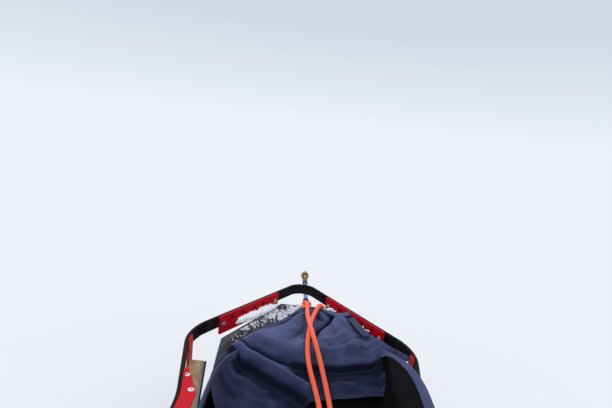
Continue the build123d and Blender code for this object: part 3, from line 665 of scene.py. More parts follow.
def bag_section(rim, base, left_x, left_z, left_corner, floor, right_corner, right_x, right_z):
    """Control points across the bag, from its left rim down, over its floor and up."""
    sides = []
    for rim_x, rim_z, corner in ((left_x, left_z, left_corner), (right_x, right_z, right_corner)):
        rise = rim_z - floor
        inward = -1 if corner > 0 else 1
        bend = min(WALL_ROUND, 0.5 * rise)
        second = (rim_x, rim + 0.35 * (base - rim), floor + 0.65 * rise)
        if abs(rim_x) > LAP_FROM:
            bend, second = 0.84 * rise, (-inward * max(LAP_X, abs(corner)), rim, rim_z + 3)
        sides.append([
            (rim_x, rim, rim_z),
            second,
            (corner, rim + 0.8 * (base - rim), floor + bend),
            (corner, base, floor),
            (corner + inward * 40, base, floor),
        ])
    middle = ((left_corner + right_corner) / 2, base, floor)
    return sides[0] + [middle] + sides[1][::-1]


def make_bag():
    """The bag's walls and floor in one loft with slack walls, and the grid that it was made from."""
    grid = spline_surface([bag_section(*row) for row in BAG_SECTIONS], 4 * BAG_ROWS, BAG_COLUMNS)
    grid = even_rows(grid, BAG_ROWS)
    columns = np.linspace(0, 1, BAG_COLUMNS)[None, :]
    rows = np.linspace(0, 1, BAG_ROWS)[:, None]
    wall = np.clip(np.abs(columns - 0.5) * 4 - 1.05, 0, 1)
    slack = np.sin(pi * wall) ** 0.8 * np.sin(pi * np.clip(rows * 1.02, 0, 1))
    normals = grid_normals(grid)
    wrinkles = 3.2 * ripple(grid * np.array([1, 1, 0.35]), 70) + 1.4 * ripple(grid, 26, 7)
    grid = grid + normals * ((wrinkles + 1.5) * slack)[..., None]
    grid[..., 2] += np.abs(ripple(grid, 90, 3)) * 3 * (1 - wall)
    under_rope(grid)
    return cloth_piece("bag_tub", grid, (SHADED_BLACK_LINING, NAVY), BAG_THICK), grid


bag_tub, bag_grid = make_bag()
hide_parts("bag")


def make_bag_back():
    """End panel between the side walls' back edges, and its grid."""
    edge = bag_grid[0]
    half = BAG_COLUMNS // 2
    wall = [j for j in range(half) if edge[j, 2] > edge[half, 2] + 1.5]
    shares = np.linspace(0, 1, 60)[:, None]
    grid = np.array([edge[j] + (edge[-1 - j] - edge[j]) * shares for j in wall])
    bulge = np.sin(pi * shares[:, 0])[None, :] * np.sin(np.linspace(0, pi, len(wall)))[:, None]
    grid[..., 1] -= (2.5 + 1.5 * ripple(grid, 60, 5)) * bulge
    return cloth_piece("bag_back", grid, (SHADED_BLACK_LINING, NAVY), BAG_THICK), grid


bag_back, back_grid = make_bag_back()
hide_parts("bag")

# Hems: a folded band with two rows of stitches
HEM_WIDTH, HEM_THICK, HEM_TOP = 19, 4.6, 1.5
STITCH_PITCH = 7.5
STITCH_ROWS = (3.5, 15.5)
# A stitch is a short bar, pointed at both ends: half its length, width and height
HEM_STITCH = (2.1, 0.4, 0.4)
PAD_STITCH = (2.4 * MM, 0.5 * MM, 0.6 * MM)
STITCH_CORNERS = np.array([(-1, 0, 0), (0, 1, 0), (0, 0, 1), (0, -1, 0), (0, 0, -1), (1, 0, 0)])
STITCH_FACES = [[0, 1, 4], [0, 4, 3], [0, 3, 2], [0, 2, 1], [5, 4, 1], [5, 3, 4], [5, 2, 3], [5, 1, 2]]
stitches = Pile()


def stitch(middle, ways, size):
    """Corners of a stitch whose ways are along, across and out."""
    return np.array(middle) + (STITCH_CORNERS * size) @ np.array(ways)


def make_band(name, line, downs, width=HEM_WIDTH, thick=HEM_THICK, material=NAVY):
    """Folded band of cloth along a line in millimetres, with stitches on both faces."""
    ways = unit(np.gradient(line, axis=0))
    outs = unit(np.cross(ways, downs))
    half = thick / 2
    outline = [(-HEM_TOP, 0), (-HEM_TOP * 0.6, half * 0.8), (HEM_TOP, half), (width - 2, half),
               (width, half * 0.3)]
    outline += [(down, -out) for down, out in reversed(outline[1:])]
    grid = np.stack([line + downs * down + outs * out for down, out in outline], axis=1)
    faces = grid_faces(len(line), len(outline), True, "capped")
    travelled = distances(line)
    uvs = [(down * MM, run * MM) for run in travelled for down, _ in outline]
    piece = make_piece(name, metres(grid).reshape(-1, 3), faces, material, uvs=uvs)
    for depth in STITCH_ROWS:
        for face in (-1, 1):
            for mark in np.arange(STITCH_PITCH, travelled[-1] - STITCH_PITCH, STITCH_PITCH):
                middle, down, way, out = (
                    read_at(mark, travelled, source) for source in (line, downs, ways, outs))
                middle = middle + down * depth + out * face * (half + 0.15)
                stitches.add(metres(stitch(middle, (way, down, out), HEM_STITCH)), STITCH_FACES)
    return piece


hem_left = make_band("hem_left", bag_grid[:, 0], unit(bag_grid[:, 3] - bag_grid[:, 0]))
hem_right = make_band("hem_right", bag_grid[:, -1], unit(bag_grid[:, -4] - bag_grid[:, -1]))
hem_back = make_band("hem_back", back_grid[0], unit(back_grid[3] - back_grid[0]))

# Canvas drawn up over the nose: crests of its two edges, past which it rolls down
LEFT_CREST = (
    # x, station, height, reach past the crest, drop past the crest
    (7, 2489, 353, 22, 20), (-33, 2423, 352, 22, 30), (-74, 2377, 350, 22, 33), (-134, 2318, 345, 20, 32),
    (-172, 2262, 342, 8, 22), (-188, 2200, 344, 5, 16), (-186, 2120, 348, 4, 12),
)
RIGHT_CREST = (
    (51, 2495, 354, 20, 22), (80, 2469, 359, 20, 30), (112, 2450, 366, 12, 34), (136, 2434, 367, 4, 30),
    (168, 2358, 362, 14, 36), (206, 2290, 370, 10, 24), (238, 2200, 391, 5, 7),
)
FRONT_REACH, FRONT_DROP = 18, 22
NOSE_LINE = [(1985, 138), (2104, 213), (2166, 255), (2214, 287), (2256, 315), (2300, 338), (2350, 351),
             (2400, 355), (2600, 356)]
LOWER_EDGE = ((-190, 2118), (-60, 2150), (5, 2170), (28, 2198), (60, 2203), (120, 2208), (180, 2214),
              (240, 2210))
CANVAS_ROWS, CANVAS_COLUMNS, ROLL_ROWS = 180, 170, 12
CANVAS_THICK = 1.6
FLOOR_GAP, FLOOR_HALF_WIDTH = 5.5, 178
# Folds: a line in plan, widths on its left and right, height, painted light and shade (a painted highlight
# above 0, painted shade below 0). A crease has a sharp floor.
FOLDS = (
    (((-14, 2258), (20, 2256), (49, 2256), (85, 2257), (130, 2262), (178, 2272)), 3, 5, -12, -3.6),
    (((-205, 2318), (-150, 2300), (-95, 2279), (-61, 2268), (-29, 2259), (0, 2257)), 6, 5, -9, -1.3),
    (((-205, 2344), (-150, 2328), (-95, 2307), (-29, 2284), (15, 2288), (85, 2296), (140, 2306)),
     26, 10, 12, 0.1),
    (((-205, 2298), (-150, 2277), (-92, 2254), (-59, 2241), (-26, 2228), (3, 2216), (18, 2209)),
     9, 8, 20, 0.9),
    (((-205, 2280), (-150, 2257), (-95, 2233), (-60, 2219), (-28, 2206), (0, 2194), (12, 2188)),
     4, 10, -13, -5.0),
    (((20, 2336), (49, 2364), (72, 2400), (90, 2440)), 4, 4.5, -30, -3.2),
    (((52, 2342), (82, 2388), (102, 2426)), 8, 26, 16, 0.6),
    (((96, 2416), (118, 2376), (130, 2340), (126, 2306)), 22, 22, 9, 0.2),
    (((-126, 2333), (-79, 2328), (-42, 2343), (-8, 2406)), 14, 26, 10, 0.75),
    (((-84, 2366), (-40, 2400), (-6, 2466)), 6, 8, -8, -0.45),
    (((-62, 2346), (-22, 2384), (4, 2460)), 8, 8, 6, 0.3),
    (((-30, 2320), (2, 2356), (14, 2420)), 7, 9, -7, -0.6),
    (((28, 2470), (30, 2420), (34, 2390)), 7, 9, 5, 0.2),
    (((40, 2312), (74, 2326), (112, 2358)), 5, 9, 6, 0.6),
    (((70, 2306), (110, 2318), (150, 2342)), 5, 8, -5, -0.4),
    (((131, 2428), (146, 2376), (158, 2350)), 4, 4, -7, -0.6),
    (((30, 2221), (85, 2223), (200, 2238)), 7, 10, 7, 0.3),
    (((10, 2243), (50, 2242), (100, 2246), (190, 2260)), 10, 12, -6, -4.2),
    (((-135, 2340), (-70, 2324), (-10, 2314)), 26, 22, 0.1, 0.9),
    (((-205, 2240), (-150, 2222), (-60, 2188), (10, 2178)), 14, 12, 5, 0.15),
)
# Painted shade: the canvas grows darker towards its lower edge, from SHADE_FROM back over SHADE_RUN, by up
# to SHADE
SHADE_FROM, SHADE_RUN, SHADE = 2262, 55, 0.42
GATHER_X, GATHER_STATION = 28, 2494
PLEATS = 11


def off_line(x, station, line):
    """Distances in plan from a line, positive on its left."""
    nearest, side = np.full(x.shape, np.inf), np.zeros(x.shape)
    for (x0, s0), (x1, s1) in zip(line, line[1:]):
        run_x, run_s = x1 - x0, s1 - s0
        share = np.clip(((x - x0) * run_x + (station - s0) * run_s) / (run_x**2 + run_s**2), 0, 1)
        away_x, away_s = x - x0 - share * run_x, station - s0 - share * run_s
        away = np.hypot(away_x, away_s)
        side = np.where(away < nearest, np.sign(run_x * away_s - run_s * away_x), side)
        nearest = np.minimum(nearest, away)
    return nearest * side


def ridges(u, v, seed):
    """Noise whose ridges are sharp, 0.22 at its highest."""
    flat = np.stack([u, v], axis=-1).reshape(-1, 2)
    return np.array([0.22 - abs(noise.noise(Vector((a, b, seed)))) for a, b in flat]).reshape(u.shape)


def fold_heights(x, station):
    """Heights and painted light and shade that the folds, the gather's pleats and fine wrinkles add at
    places in plan.
    """
    total, painted_light = np.zeros(x.shape), np.zeros(x.shape)
    for line, left_half, right_half, height, shade in FOLDS:
        away = off_line(x, station, line)
        near = np.abs(away) / np.where(away > 0, left_half, right_half)
        form = np.exp(-near) if height < 0 else np.exp(-near**2)
        total += height * form
        painted_light += shade * form
    reach = np.hypot(x - GATHER_X, station - GATHER_STATION)
    turn = np.arctan2(x - GATHER_X, GATHER_STATION - station)
    pleats = np.sin(turn * PLEATS + 0.8 + 0.004 * reach) * np.exp(-reach / 60) * np.minimum(1, reach / 18)
    rays = ridges(turn * 6, reach / 85, 2.7)
    across = ridges(x / 70, station / 20, 9.1)
    fan = np.exp(-reach / 190) * np.minimum(1, reach / 30)
    total += 5 * pleats + 13 * rays * fan + 6 * across * (1 - fan)
    # Painted highlights on the ridges of the pleats and wrinkles, painted shade in their hollows
    painted_light += 0.6 * pleats + 1.7 * rays * fan + 0.9 * across * (1 - fan)
    # Painted shade towards the canvas's lower edge
    painted_light -= SHADE * np.clip((SHADE_FROM - station) / SHADE_RUN, 0, 1)
    return total, painted_light


def crest_rows(crest, outward):
    """Even points along a crest, its reach and drop at each, and the way out of the canvas in plan."""
    rows = even(smooth_line([Vector(row[:3]) for row in crest], resolution=30), CANVAS_ROWS)
    stations, reaches, drops = ([row[k] for row in crest[::-1]] for k in (1, 3, 4))
    way = unit(np.gradient(rows[:, :2], axis=0))
    outs = np.stack([way[:, 1], -way[:, 0]], axis=1) * outward
    return rows, np.interp(rows[:, 1], stations, reaches), np.interp(rows[:, 1], stations, drops), outs


def canvas_row(left, right, row):
    """Points across the canvas between its two crests, with its folds."""
    shares = np.linspace(0, 1, CANVAS_COLUMNS)
    line = left + (right - left) * shares[:, None]
    sag = np.sin(pi * shares)
    line[:, 1] -= 8 * sag * min(1, row / 40)
    ends = LEFT_CREST[-1], RIGHT_CREST[-1]
    straight = np.interp(line[:, 0], [end[0] for end in ends], [end[1] for end in ends])
    cut = np.interp(line[:, 0], *zip(*LOWER_EDGE))
    line[:, 1] += (cut - straight) * (row / CANVAS_ROWS) ** 3
    inner = np.interp(line[:, 1], *zip(*NOSE_LINE))
    hold = np.clip(1 - sag * 3.2, 0, 1)
    folds = fold_heights(line[:, 0], line[:, 1])[0]
    line[:, 2] = inner + (line[:, 2] - inner) * hold**1.5 + folds * (1 - hold) ** 0.5
    return line


def make_nose_canvas():
    """The bag's front panel, drawn up over the nose and gathered at the ring, and its grid."""
    crests = crest_rows(LEFT_CREST, 1), crest_rows(RIGHT_CREST, -1)
    grid = np.zeros((CANVAS_ROWS + ROLL_ROWS, CANVAS_COLUMNS + 2 * ROLL_ROWS, 3))
    for i in range(-ROLL_ROWS, CANVAS_ROWS):
        row = max(i, 0)
        line = canvas_row(crests[0][0][row], crests[1][0][row], row)
        front = -min(i, 0) / ROLL_ROWS
        for j in range(-ROLL_ROWS, CANVAS_COLUMNS + ROLL_ROWS):
            base = line[min(max(j, 0), CANVAS_COLUMNS - 1)].copy()
            _, reaches, drops, outs = crests[0 if j < CANVAS_COLUMNS / 2 else 1]
            side = max(-j, j - CANVAS_COLUMNS + 1, 0) / ROLL_ROWS
            beyond = hypot(side, front)
            if beyond:
                angle = min(1, beyond) * pi / 2
                reach = hypot(side * reaches[row], front * FRONT_REACH) / beyond
                drop = hypot(side * drops[row], front * FRONT_DROP) / beyond
                base[:2] += unit(outs[row] * side + np.array([0, front])) * reach * sin(angle)
                base[2] -= drop * (1 - cos(angle))
            grid[i + ROLL_ROWS, j + ROLL_ROWS] = base
    plan = grid * np.array([1, 1, 0])
    grid[..., 2] += 2.6 * ripple(plan, 55) + 1.1 * ripple(plan, 20, 4)
    tub_floor = np.interp(grid[..., 1], FLOOR_STATIONS, FLOOR_HEIGHTS)
    inside = np.clip((FLOOR_HALF_WIDTH - np.abs(grid[..., 0])) / 12, 0, 1)
    grid[..., 2] += np.maximum(tub_floor + FLOOR_GAP - grid[..., 2], 0) * inside
    under_rope(grid)
    piece = cloth_piece("nose_canvas", grid[:, ::-1], (NAVY,), CANVAS_THICK)
    # Painted light and shade of the folds, as a point attribute that the canvas material reads
    painted_light = fold_heights(grid[..., 0], grid[..., 1])[1]
    set_painted_light(piece, np.clip(painted_light[:, ::-1], -1, 1))
    return piece, grid


nose_canvas, canvas_grid = make_nose_canvas()
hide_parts("bag")

# Tie that pulls the canvas to the right plate's second slot
TIE_LINE = [
    # x, station, height
    (52, 2490, 348), (64, 2468, 357), (84, 2443, 361), (104, 2431, 364), (122, 2432, 368), (134, 2441, 369),
    (141, 2441, 365),
]
TIE_RADIUS, TIE_SIDES = 9, 28
TIE_TWIST = 14
TIE_UV = 0.05


def make_tie():
    """A twisted strip of canvas, pulled into a soft roll, with a painted highlight on top and painted shade
    underneath.
    """
    line = smooth_line(places(TIE_LINE), resolution=30)

    def folded_roll(turn, s):
        twist = turn - s * TIE_TWIST
        return (0.62 + 0.38 * abs(cos(twist))) * (1 + 0.16 * cos(3 * twist))

    points, faces, uvs = tube(line, TIE_RADIUS * MM, TIE_SIDES, folded_roll)
    uvs = [(u * TIE_UV, v * TIE_UV) for u, v in uvs]
    tie = make_piece("plate_tie", points, faces, NAVY, uvs=uvs)
    heights = np.array([p.z for p in points]).reshape(len(line), TIE_SIDES)
    middles = np.array([p.z for p in line])[:, None]
    # Painted light: lighter above the roll's middle, darker below it
    set_painted_light(tie, np.clip((heights - middles - MM) * 220, -1, 0.9))
    return tie


plate_tie = make_tie()

# Strap that hangs from the tie over the canvas
STRAP_LINE = [(144, 2422, 370.5), (151, 2396, 370), (161, 2368, 368.5), (174, 2336, 366.5)]
STRAP_DOWN = (-0.92, -0.34, -0.16)
strap_line = even(smooth_line([Vector(p) for p in STRAP_LINE], resolution=30), 60)
strap_down = np.tile(unit(np.array(STRAP_DOWN)), (len(strap_line), 1))
canvas_strap = make_band("canvas_strap", strap_line, strap_down, width=17, thick=4, material=STRAP)


# Pads
PAD_VOXEL = 0.005
PAD_PRESSURE = 4
PAD_FRAMES = 20
PAD_CROWN = 0.2
PIPING = 3.2
CHANNEL_WIDTH, CHANNEL_DEPTH = 5.0, 6.0
PAD_STITCH_PITCH, PAD_MARGIN = 8, 16


def evaluated(piece):
    """A piece's mesh with its modifiers applied."""
    bpy.context.view_layer.update()
    return bpy.data.meshes.new_from_object(piece.evaluated_get(bpy.context.evaluated_depsgraph_get()))


def rounded_slab(width, depth, thick):
    """Closed slab, round at its corners in plan and thicker in the middle."""
    rings, sides = 10, 120
    outline = []
    for k in range(sides):
        turn = 2 * pi * k / sides
        x, y = cos(turn), sin(turn)
        stretch = 1 / max(abs(x) ** 5 + abs(y) ** 5, 1e-9) ** 0.2
        outline.append((x * stretch, y * stretch))
    points = []
    levels = [(-1, r / rings) for r in range(1, rings + 1)] + [(1, r / rings) for r in range(rings, 0, -1)]
    for level, share in levels:
        height = thick / 2 * (0.72 + PAD_CROWN * (1 - share**2))
        points += [(x * width / 2 * share, y * depth / 2 * share, level * height) for x, y in outline]
    return points, grid_faces(len(levels), sides, True, "capped")


def puffed(name, size, cap):
    """Points and faces of a pad blown up by a cloth simulation; each point moves cap at most."""
    mesh = bpy.data.meshes.new(name)
    points, faces = rounded_slab(*(side * MM - cap for side in size))
    mesh.from_pydata(points, [], faces)
    start = show(name + "_start", mesh)
    remesh = start.modifiers.new("remesh", "REMESH")
    remesh.mode, remesh.voxel_size = "VOXEL", PAD_VOXEL
    even_mesh = evaluated(start)
    bpy.data.objects.remove(start)
    pad = show(name + "_cloth", even_mesh)
    before = np.array([v.co for v in even_mesh.vertices])
    cloth = pad.modifiers.new("cloth", "CLOTH")
    cloth.settings.use_pressure = True
    cloth.settings.uniform_pressure_force = PAD_PRESSURE
    cloth.settings.effector_weights.gravity = 0
    cloth.settings.quality = 4
    for frame_number in range(1, PAD_FRAMES + 1):
        bpy.context.scene.frame_set(frame_number)
    settled = evaluated(pad)
    after = np.array([v.co for v in settled.vertices])
    bpy.data.meshes.remove(settled)
    bpy.context.scene.frame_set(1)
    moves = after - before
    lengths = np.maximum(np.linalg.norm(moves, axis=1, keepdims=True), 1e-9)
    after = before + moves * np.minimum(1, cap / lengths)
    faces = [tuple(face.vertices) for face in even_mesh.polygons]
    bpy.data.objects.remove(pad)
    bpy.data.meshes.remove(even_mesh)
    return after, faces


def make_pad(name, node_name, size, matrix, axis, channels, cap):
    """Padded piece with sewn channels at places on axis 0 or 1, piping round its edge and stitches."""
    width, depth, thick = size
    points, faces = puffed(name, size, cap * MM)
    for mark in channels:
        away = np.abs(points[:, axis] - mark * MM) / (CHANNEL_WIDTH * MM)
        points[:, 2] -= np.where(points[:, 2] > 0, CHANNEL_DEPTH * MM * np.exp(-away**2), 0)
    points[:, 2] = np.maximum(points[:, 2], -thick / 2 * MM)
    tree = BVHTree.FromPolygons([Vector(p) for p in points], faces)
    pad = make_piece(name, [matrix @ Vector(p) for p in points], faces, PAD)
    smoother = pad.modifiers.new("smooth", "SUBSURF")
    smoother.levels = smoother.render_levels = 1
    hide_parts(node_name)
    rim = []
    for k in range(160):
        turn = 2 * pi * k / 160
        origin = Vector((cos(turn) * width, sin(turn) * depth, 0)) * MM
        hit = tree.ray_cast(origin, -origin.normalized())[0]
        if hit:
            rim.append(hit)
    rim = smooth_line(rim, closed=True, resolution=3)
    points, faces, _ = tube(rim + rim[:1], PIPING * MM, 10)
    make_piece(name + "_piping", [matrix @ p for p in points], faces, RUBBER)
    sewn = Pile()
    way, across = (ACROSS, AHEAD) if axis else (AHEAD, ACROSS)
    end = size[1 - axis] / 2 - PAD_MARGIN
    for mark in channels:
        for run in np.arange(-end, end, PAD_STITCH_PITCH):
            spot = (way * run + across * mark) * MM + UP * 0.2
            hit, normal = tree.ray_cast(spot, -UP)[:2]
            if hit:
                side = way.cross(normal).normalized()
                sewn.add(stitch(hit, (way, side, normal), PAD_STITCH), STITCH_FACES, matrix)
    sewn.make(name + "_stitches", THREAD, "pad_fabric", smooth=False)


SEAT_SIZE, SEAT_CHANNELS = (350, 598, 50), (-190, -65, 65, 190)
SEAT_PLACE = Matrix.Translation(place(0, 1181, 156))
make_pad("seat", "seat_pad", SEAT_SIZE, SEAT_PLACE, 1, SEAT_CHANNELS, 12)

# The handlebar's plane: X to the left, Y up along it and Z out of it, forward
HOOP_LEAN = radians(13.6)
HOOP_FOOT = (0, 870, 46)
HOOP_TURN = Matrix((
    (-1, 0, 0), (0, -sin(HOOP_LEAN), cos(HOOP_LEAN)), (0, cos(HOOP_LEAN), sin(HOOP_LEAN)))).to_4x4()
HOOP_PLACE = Matrix.Translation(place(*HOOP_FOOT)) @ HOOP_TURN


def on_hoop(x, height, out=0):
    """Matrix of a place on the handlebar's plane at a height, in millimetres."""
    up = (height - HOOP_FOOT[2]) / cos(HOOP_LEAN)
    return HOOP_PLACE @ Matrix.Translation(Vector((x, up, out)) * MM)


BACK_SIZE, BACK_CHANNELS = (340, 499, 36), (-57, 57)
BACK_LOW, BACK_HIGH, BACK_OUT = 175, 660, 44
BACK_PLACE = on_hoop(0, (BACK_LOW + BACK_HIGH) / 2, BACK_OUT)
make_pad("back_pad", "backrest", BACK_SIZE, BACK_PLACE, 0, BACK_CHANNELS, 10)

# Small fasteners, as radius and height in shares of the head's radius
fasteners = Pile()
HEAD = [(0.98, 0), (1.0, 0.12), (0.98, 0.34), (0.82, 0.62), (0.5, 0.84), (0.18, 0.92)]
WASHER = [(1.9, 0), (1.95, 0.1), (1.95, 0.22), (1.8, 0.3), (0.9, 0.3)]
HEX = [(1.0, 0), (1.0, 0.75), (0.86, 0.86)]
STUD = [(0.55, 0), (0.55, 1.5), (0.45, 1.6)]


def bolt(pile, origin, axis, radius=4.5, washer=True):
    """Round-headed bolt on a surface; the radius is the head's, in millimetres."""
    if washer:
        turned(pile, WASHER, origin, axis, 24, radius)
    turned(pile, HEAD, origin, axis, 18, radius, 0.26 if washer else 0)


def nut(pile, origin, axis, radius=5):
    """Hexagon nut on a washer, with the end of its stud."""
    turned(pile, WASHER, origin, axis, 24, radius)
    turned(pile, HEX, origin, axis, 6, radius, 0.28)
    turned(pile, STUD, origin, axis, 12, radius)


def web_loop(pile, line, across, width, thick, matrix):
    """Closed loop of flat webbing; across is its width's direction."""
    points = []
    for i, p in enumerate(line):
        out = across.cross((line[(i + 1) % len(line)] - line[i - 1]).normalized())
        for a, b in ((-0.5, 0), (0.5, 0), (0.5, 1), (-0.5, 1)):
            points.append(p + across * width * a * MM + out * thick * b * MM)
    pile.add(points, grid_faces(len(line), 4, True, "joined"), matrix)


def ring(pile, origin, axis, radius, wire, sides=28, wire_sides=10):
    """Torus about an axis at a point, in millimetres."""
    points = []
    for i in range(sides):
        turn = 2 * pi * i / sides
        for k in range(wire_sides):
            roll = 2 * pi * k / wire_sides
            r = radius + wire * cos(roll)
            points.append((r * cos(turn) * MM, r * sin(turn) * MM, wire * sin(roll) * MM))
    pile.add(points, grid_faces(sides, wire_sides, True, "joined"), facing(origin, axis))


def wire_along(pile, points, radius, sides=8, closed=False, resolution=5):
    """Round cord or wire through control points; its radius is in millimetres."""
    line = smooth_line(points, closed=closed, resolution=resolution)
    if closed:
        line = line + line[:1]
    pile.add(*tube(line, radius * MM, sides)[:2])


def oval(middle, first, second, sides):
    """Control points round an oval from its two half axes."""
    turns = [2 * pi * k / sides for k in range(sides)]
    return [middle + first * cos(turn) + second * sin(turn) for turn in turns]


def brick(pile, middle, size, matrix):
    """Box, in millimetres."""
    corners = [(Vector(middle) + Vector((size[0] * a, size[1] * b, size[2] * c)) / 2) * MM
               for c in (-1, 1) for b in (-1, 1) for a in (-1, 1)]
    faces = [[0, 2, 3, 1], [4, 5, 7, 6], [0, 1, 5, 4], [2, 6, 7, 3], [0, 4, 6, 2], [1, 3, 7, 5]]
    pile.add(corners, faces, matrix)


# Side rails: their middle falls towards the nose
RAIL_SLOPE = 79 / 1232
RAIL_HALF = 14


def rail_mid(station):
    """Height of the side rail's middle at a station."""
    return 445 - (station - 758) * RAIL_SLOPE


# Webbing that holds the backrest to the slat: its outline round both, in the handlebar's plane
SLAT_HEIGHT = 620
WEB_OUTLINE = ((-32, 20), (-32, 27.5), (0, 27.5), (32, 27.5), (32, 20), (32, 11), (0, 11), (-32, 11))
WEB_X, WEB_WIDTH, WEB_THICK = 110, 25, 1.6
BUCKLE_PLATE, BUCKLE_BAR = (31, 20, 4), (31, 4, 5)
webbing, buckles = Pile(), Pile()
for x in (-WEB_X, WEB_X):
    path = smooth_line([Vector((0, y, z)) * MM for y, z in WEB_OUTLINE], closed=True, resolution=6)
    spot = on_hoop(x, SLAT_HEIGHT)
    web_loop(webbing, path, ACROSS, WEB_WIDTH, WEB_THICK, spot)
    brick(buckles, (0, 0, 8.5), BUCKLE_PLATE, spot)
    brick(buckles, (0, 0, 7), BUCKLE_BAR, spot)
webbing.make("backrest_webbing", PAD, "pad_fabric")
buckles.make("backrest_buckles", RUBBER, "black_rubber", smooth=False)

# Lacing between the bag's hems and the side rails, with an eyelet at each hole
LACE = 2
LACE_STATIONS = range(922, 1890, 120)
HOLE_BELOW_RIM = 9
EYELET_FACES, EYELET, EYELET_WIRE = (182.6, 191.2), 5.2, 1.3
lacing, eyelets = Pile(), Pile()


def hole_height(station):
    """Height of the hem's holes at a station, on its straight length."""
    return float(np.interp(station, RIM_STATIONS, RIM_HEIGHTS)) - HOLE_BELOW_RIM


for side in SIDES:
    controls = []
    for s in LACE_STATIONS:
        hole = hole_height(s)
        top, under = rail_mid(s + 52) + RAIL_HALF, rail_mid(s + 24) - RAIL_HALF
        for x in EYELET_FACES:
            ring(eyelets, place(side * x, s, hole), ACROSS, EYELET, EYELET_WIRE, 22, 8)
        controls += [(181, s - 6, hole), (187, s, hole), (193, s + 5, hole + 1)]
        if s < LACE_STATIONS[-1]:
            controls += [
                (207, s + 18, under - 5), (221, s + 30, under + 1), (221, s + 44, top - 6),
                (208, s + 52, top + 5.5), (192, s + 60, top + 4.5), (187, s + 72, top - 14),
                (181.5, s + 92, hole + 2),
            ]
    _, s, z = controls[-1]
    front_knot = [(193, s - 3, z), (197, s + 2, z + 5), (199, s - 4, z + 1), (196, s - 1, z - 6),
                  (199, s + 5, z - 1), (195, s + 8, z - 16)]
    _, s, z = controls[0]
    back_knot = [(181, s, z), (178, s - 8, z + 5), (177, s + 2, z - 5), (180, s - 4, z),
                 (178, s - 12, z - 13)]
    for line in (controls, front_knot, back_knot):
        wire_along(lacing, places(line, side), LACE)
lacing.make("hem_lacing", DARK_ROPE, "dark_rope")
eyelets.make("hem_eyelets", BARE_STEEL, "bare_steel")

# Lashings where the stanchions meet the rails
STANCHIONS = (1835, 1352)
LASHING, LASHING_PITCH = 1.7, 3.4
lashings = Pile()
for side in SIDES:
    for s in STANCHIONS:
        top, under = rail_mid(s) + RAIL_HALF, rail_mid(s) - RAIL_HALF
        for lean in (-1, 1):
            for turn in (-1, 0, 1):
                shift = LASHING_PITCH * turn
                over, below = s + lean * (27 + shift), s - lean * (22 + shift)
                crossing, low = s - lean * 17, under - 27 - shift
                loop = [
                    (191, over, top + 3), (204, over, top + 3), (218.5, over, top + 3),
                    (220.5, (over + s) / 2, under + 8), (222, crossing, low + 7), (221, below, low),
                    (206, below, low - 1), (191.5, below, low), (190.5, crossing, low + 7),
                    (189.6, (over + s) / 2, under + 8),
                ]
                wire_along(lashings, places(loop, side), LASHING, 6, True, 4)
lashings.make("lashings", DARK_ROPE, "dark_rope")

# Torsion springs round the axle
AXLE_STATION, AXLE_Z = 832, 98
SPRING_TURNS, SPRING_PITCH, SPRING_RADIUS, SPRING_WIRE = 7, 4.85, 8.6, 2.3
SPRING_START, SPRING_STEPS = 79.8, 20
coils = Pile()
for side in SIDES:
    start = side * SPRING_START
    winding = []
    for k in range(SPRING_TURNS * SPRING_STEPS + 1):
        turn = 2 * pi * k / SPRING_STEPS
        winding.append(place(start + side * SPRING_PITCH * k / SPRING_STEPS,
                             AXLE_STATION - SPRING_RADIUS * sin(turn), AXLE_Z + SPRING_RADIUS * cos(turn)))
    top = AXLE_Z + SPRING_RADIUS
    inner_leg = [place(start, AXLE_STATION + 17, top), place(start, AXLE_STATION + 8, top)]
    outer_leg = [winding[-1] + Vector((0, -8, 0)) * MM, winding[-1] + Vector((0, -24, 1)) * MM]
    coils.add(*tube(inner_leg + winding + outer_leg, SPRING_WIRE * MM, 8)[:2])
springs = coils.make("brake_spring_coils", DARK_STEEL, "dark_steel")
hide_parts("brake_springs")

# Grip ribs on the handlebar's top, with a collar at each end
RIB = [(17.2, -2.4), (18.7, -1.3), (18.7, 1.3), (17.2, 2.4)]
COLLAR = [(17.2, -3), (20, -1.5), (20, 1.5), (17.2, 3)]
RIB_PITCH, COLLAR_X = 7.4, 84
GRIP_MIDDLE = HOOP_PLACE @ Vector((0, 985 * MM, 0))
ribs = Pile()
for profile, offsets in ((RIB, [k * RIB_PITCH for k in range(-10, 11)]), (COLLAR, [-COLLAR_X, COLLAR_X])):
    for x in offsets:
        turned(ribs, profile, GRIP_MIDDLE + ACROSS * x * MM, ACROSS, 32)
ribs.make("grip_ribs", RUBBER, "black_rubber")

# Tow loop: two braided strands in one closed loop, pinched together in its middle
LOOP_BACK, LOOP_FRONT = place(16, 2564, 330), place(16, 2814, 312)
LOOP_WAY = (LOOP_FRONT - LOOP_BACK).normalized()
LOOP_HALF = 7 * MM
loop_line = []
for end, base in ((LOOP_FRONT, 0), (LOOP_BACK, pi)):
    for k in range(13):
        turn = base - pi / 2 + pi * k / 12
        loop_line.append(end + (LOOP_WAY * cos(turn) + ACROSS * sin(turn)) * LOOP_HALF)
    if end is LOOP_FRONT:
        back = LOOP_BACK + ACROSS * LOOP_HALF
        loop_line += [loop_line[-1].lerp(back, share) for share in np.linspace(0.02, 0.98, 60)]
loop_line += [loop_line[-1].lerp(loop_line[0], share) for share in np.linspace(0.02, 1, 60)]
for point in loop_line:
    share = (point - LOOP_BACK).dot(LOOP_WAY) / (LOOP_FRONT - LOOP_BACK).length
    pinch = min(1, max(0, 8 * share)) * min(1, max(0, 8 - 8 * share))
    point.x += (LOOP_BACK.x - point.x) * 0.5 * pinch**2 * (3 - 2 * pinch)
tow_loop = make_rope("tow_loop_braid", loop_line, 3.05 * MM, BLUE, 12, plaits=6)
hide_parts("tow_loop")
SEIZED_AT, SEIZED_TURNS, TURN_PITCH = (0.14, 0.86), 6, 2.2
seizing = Pile()
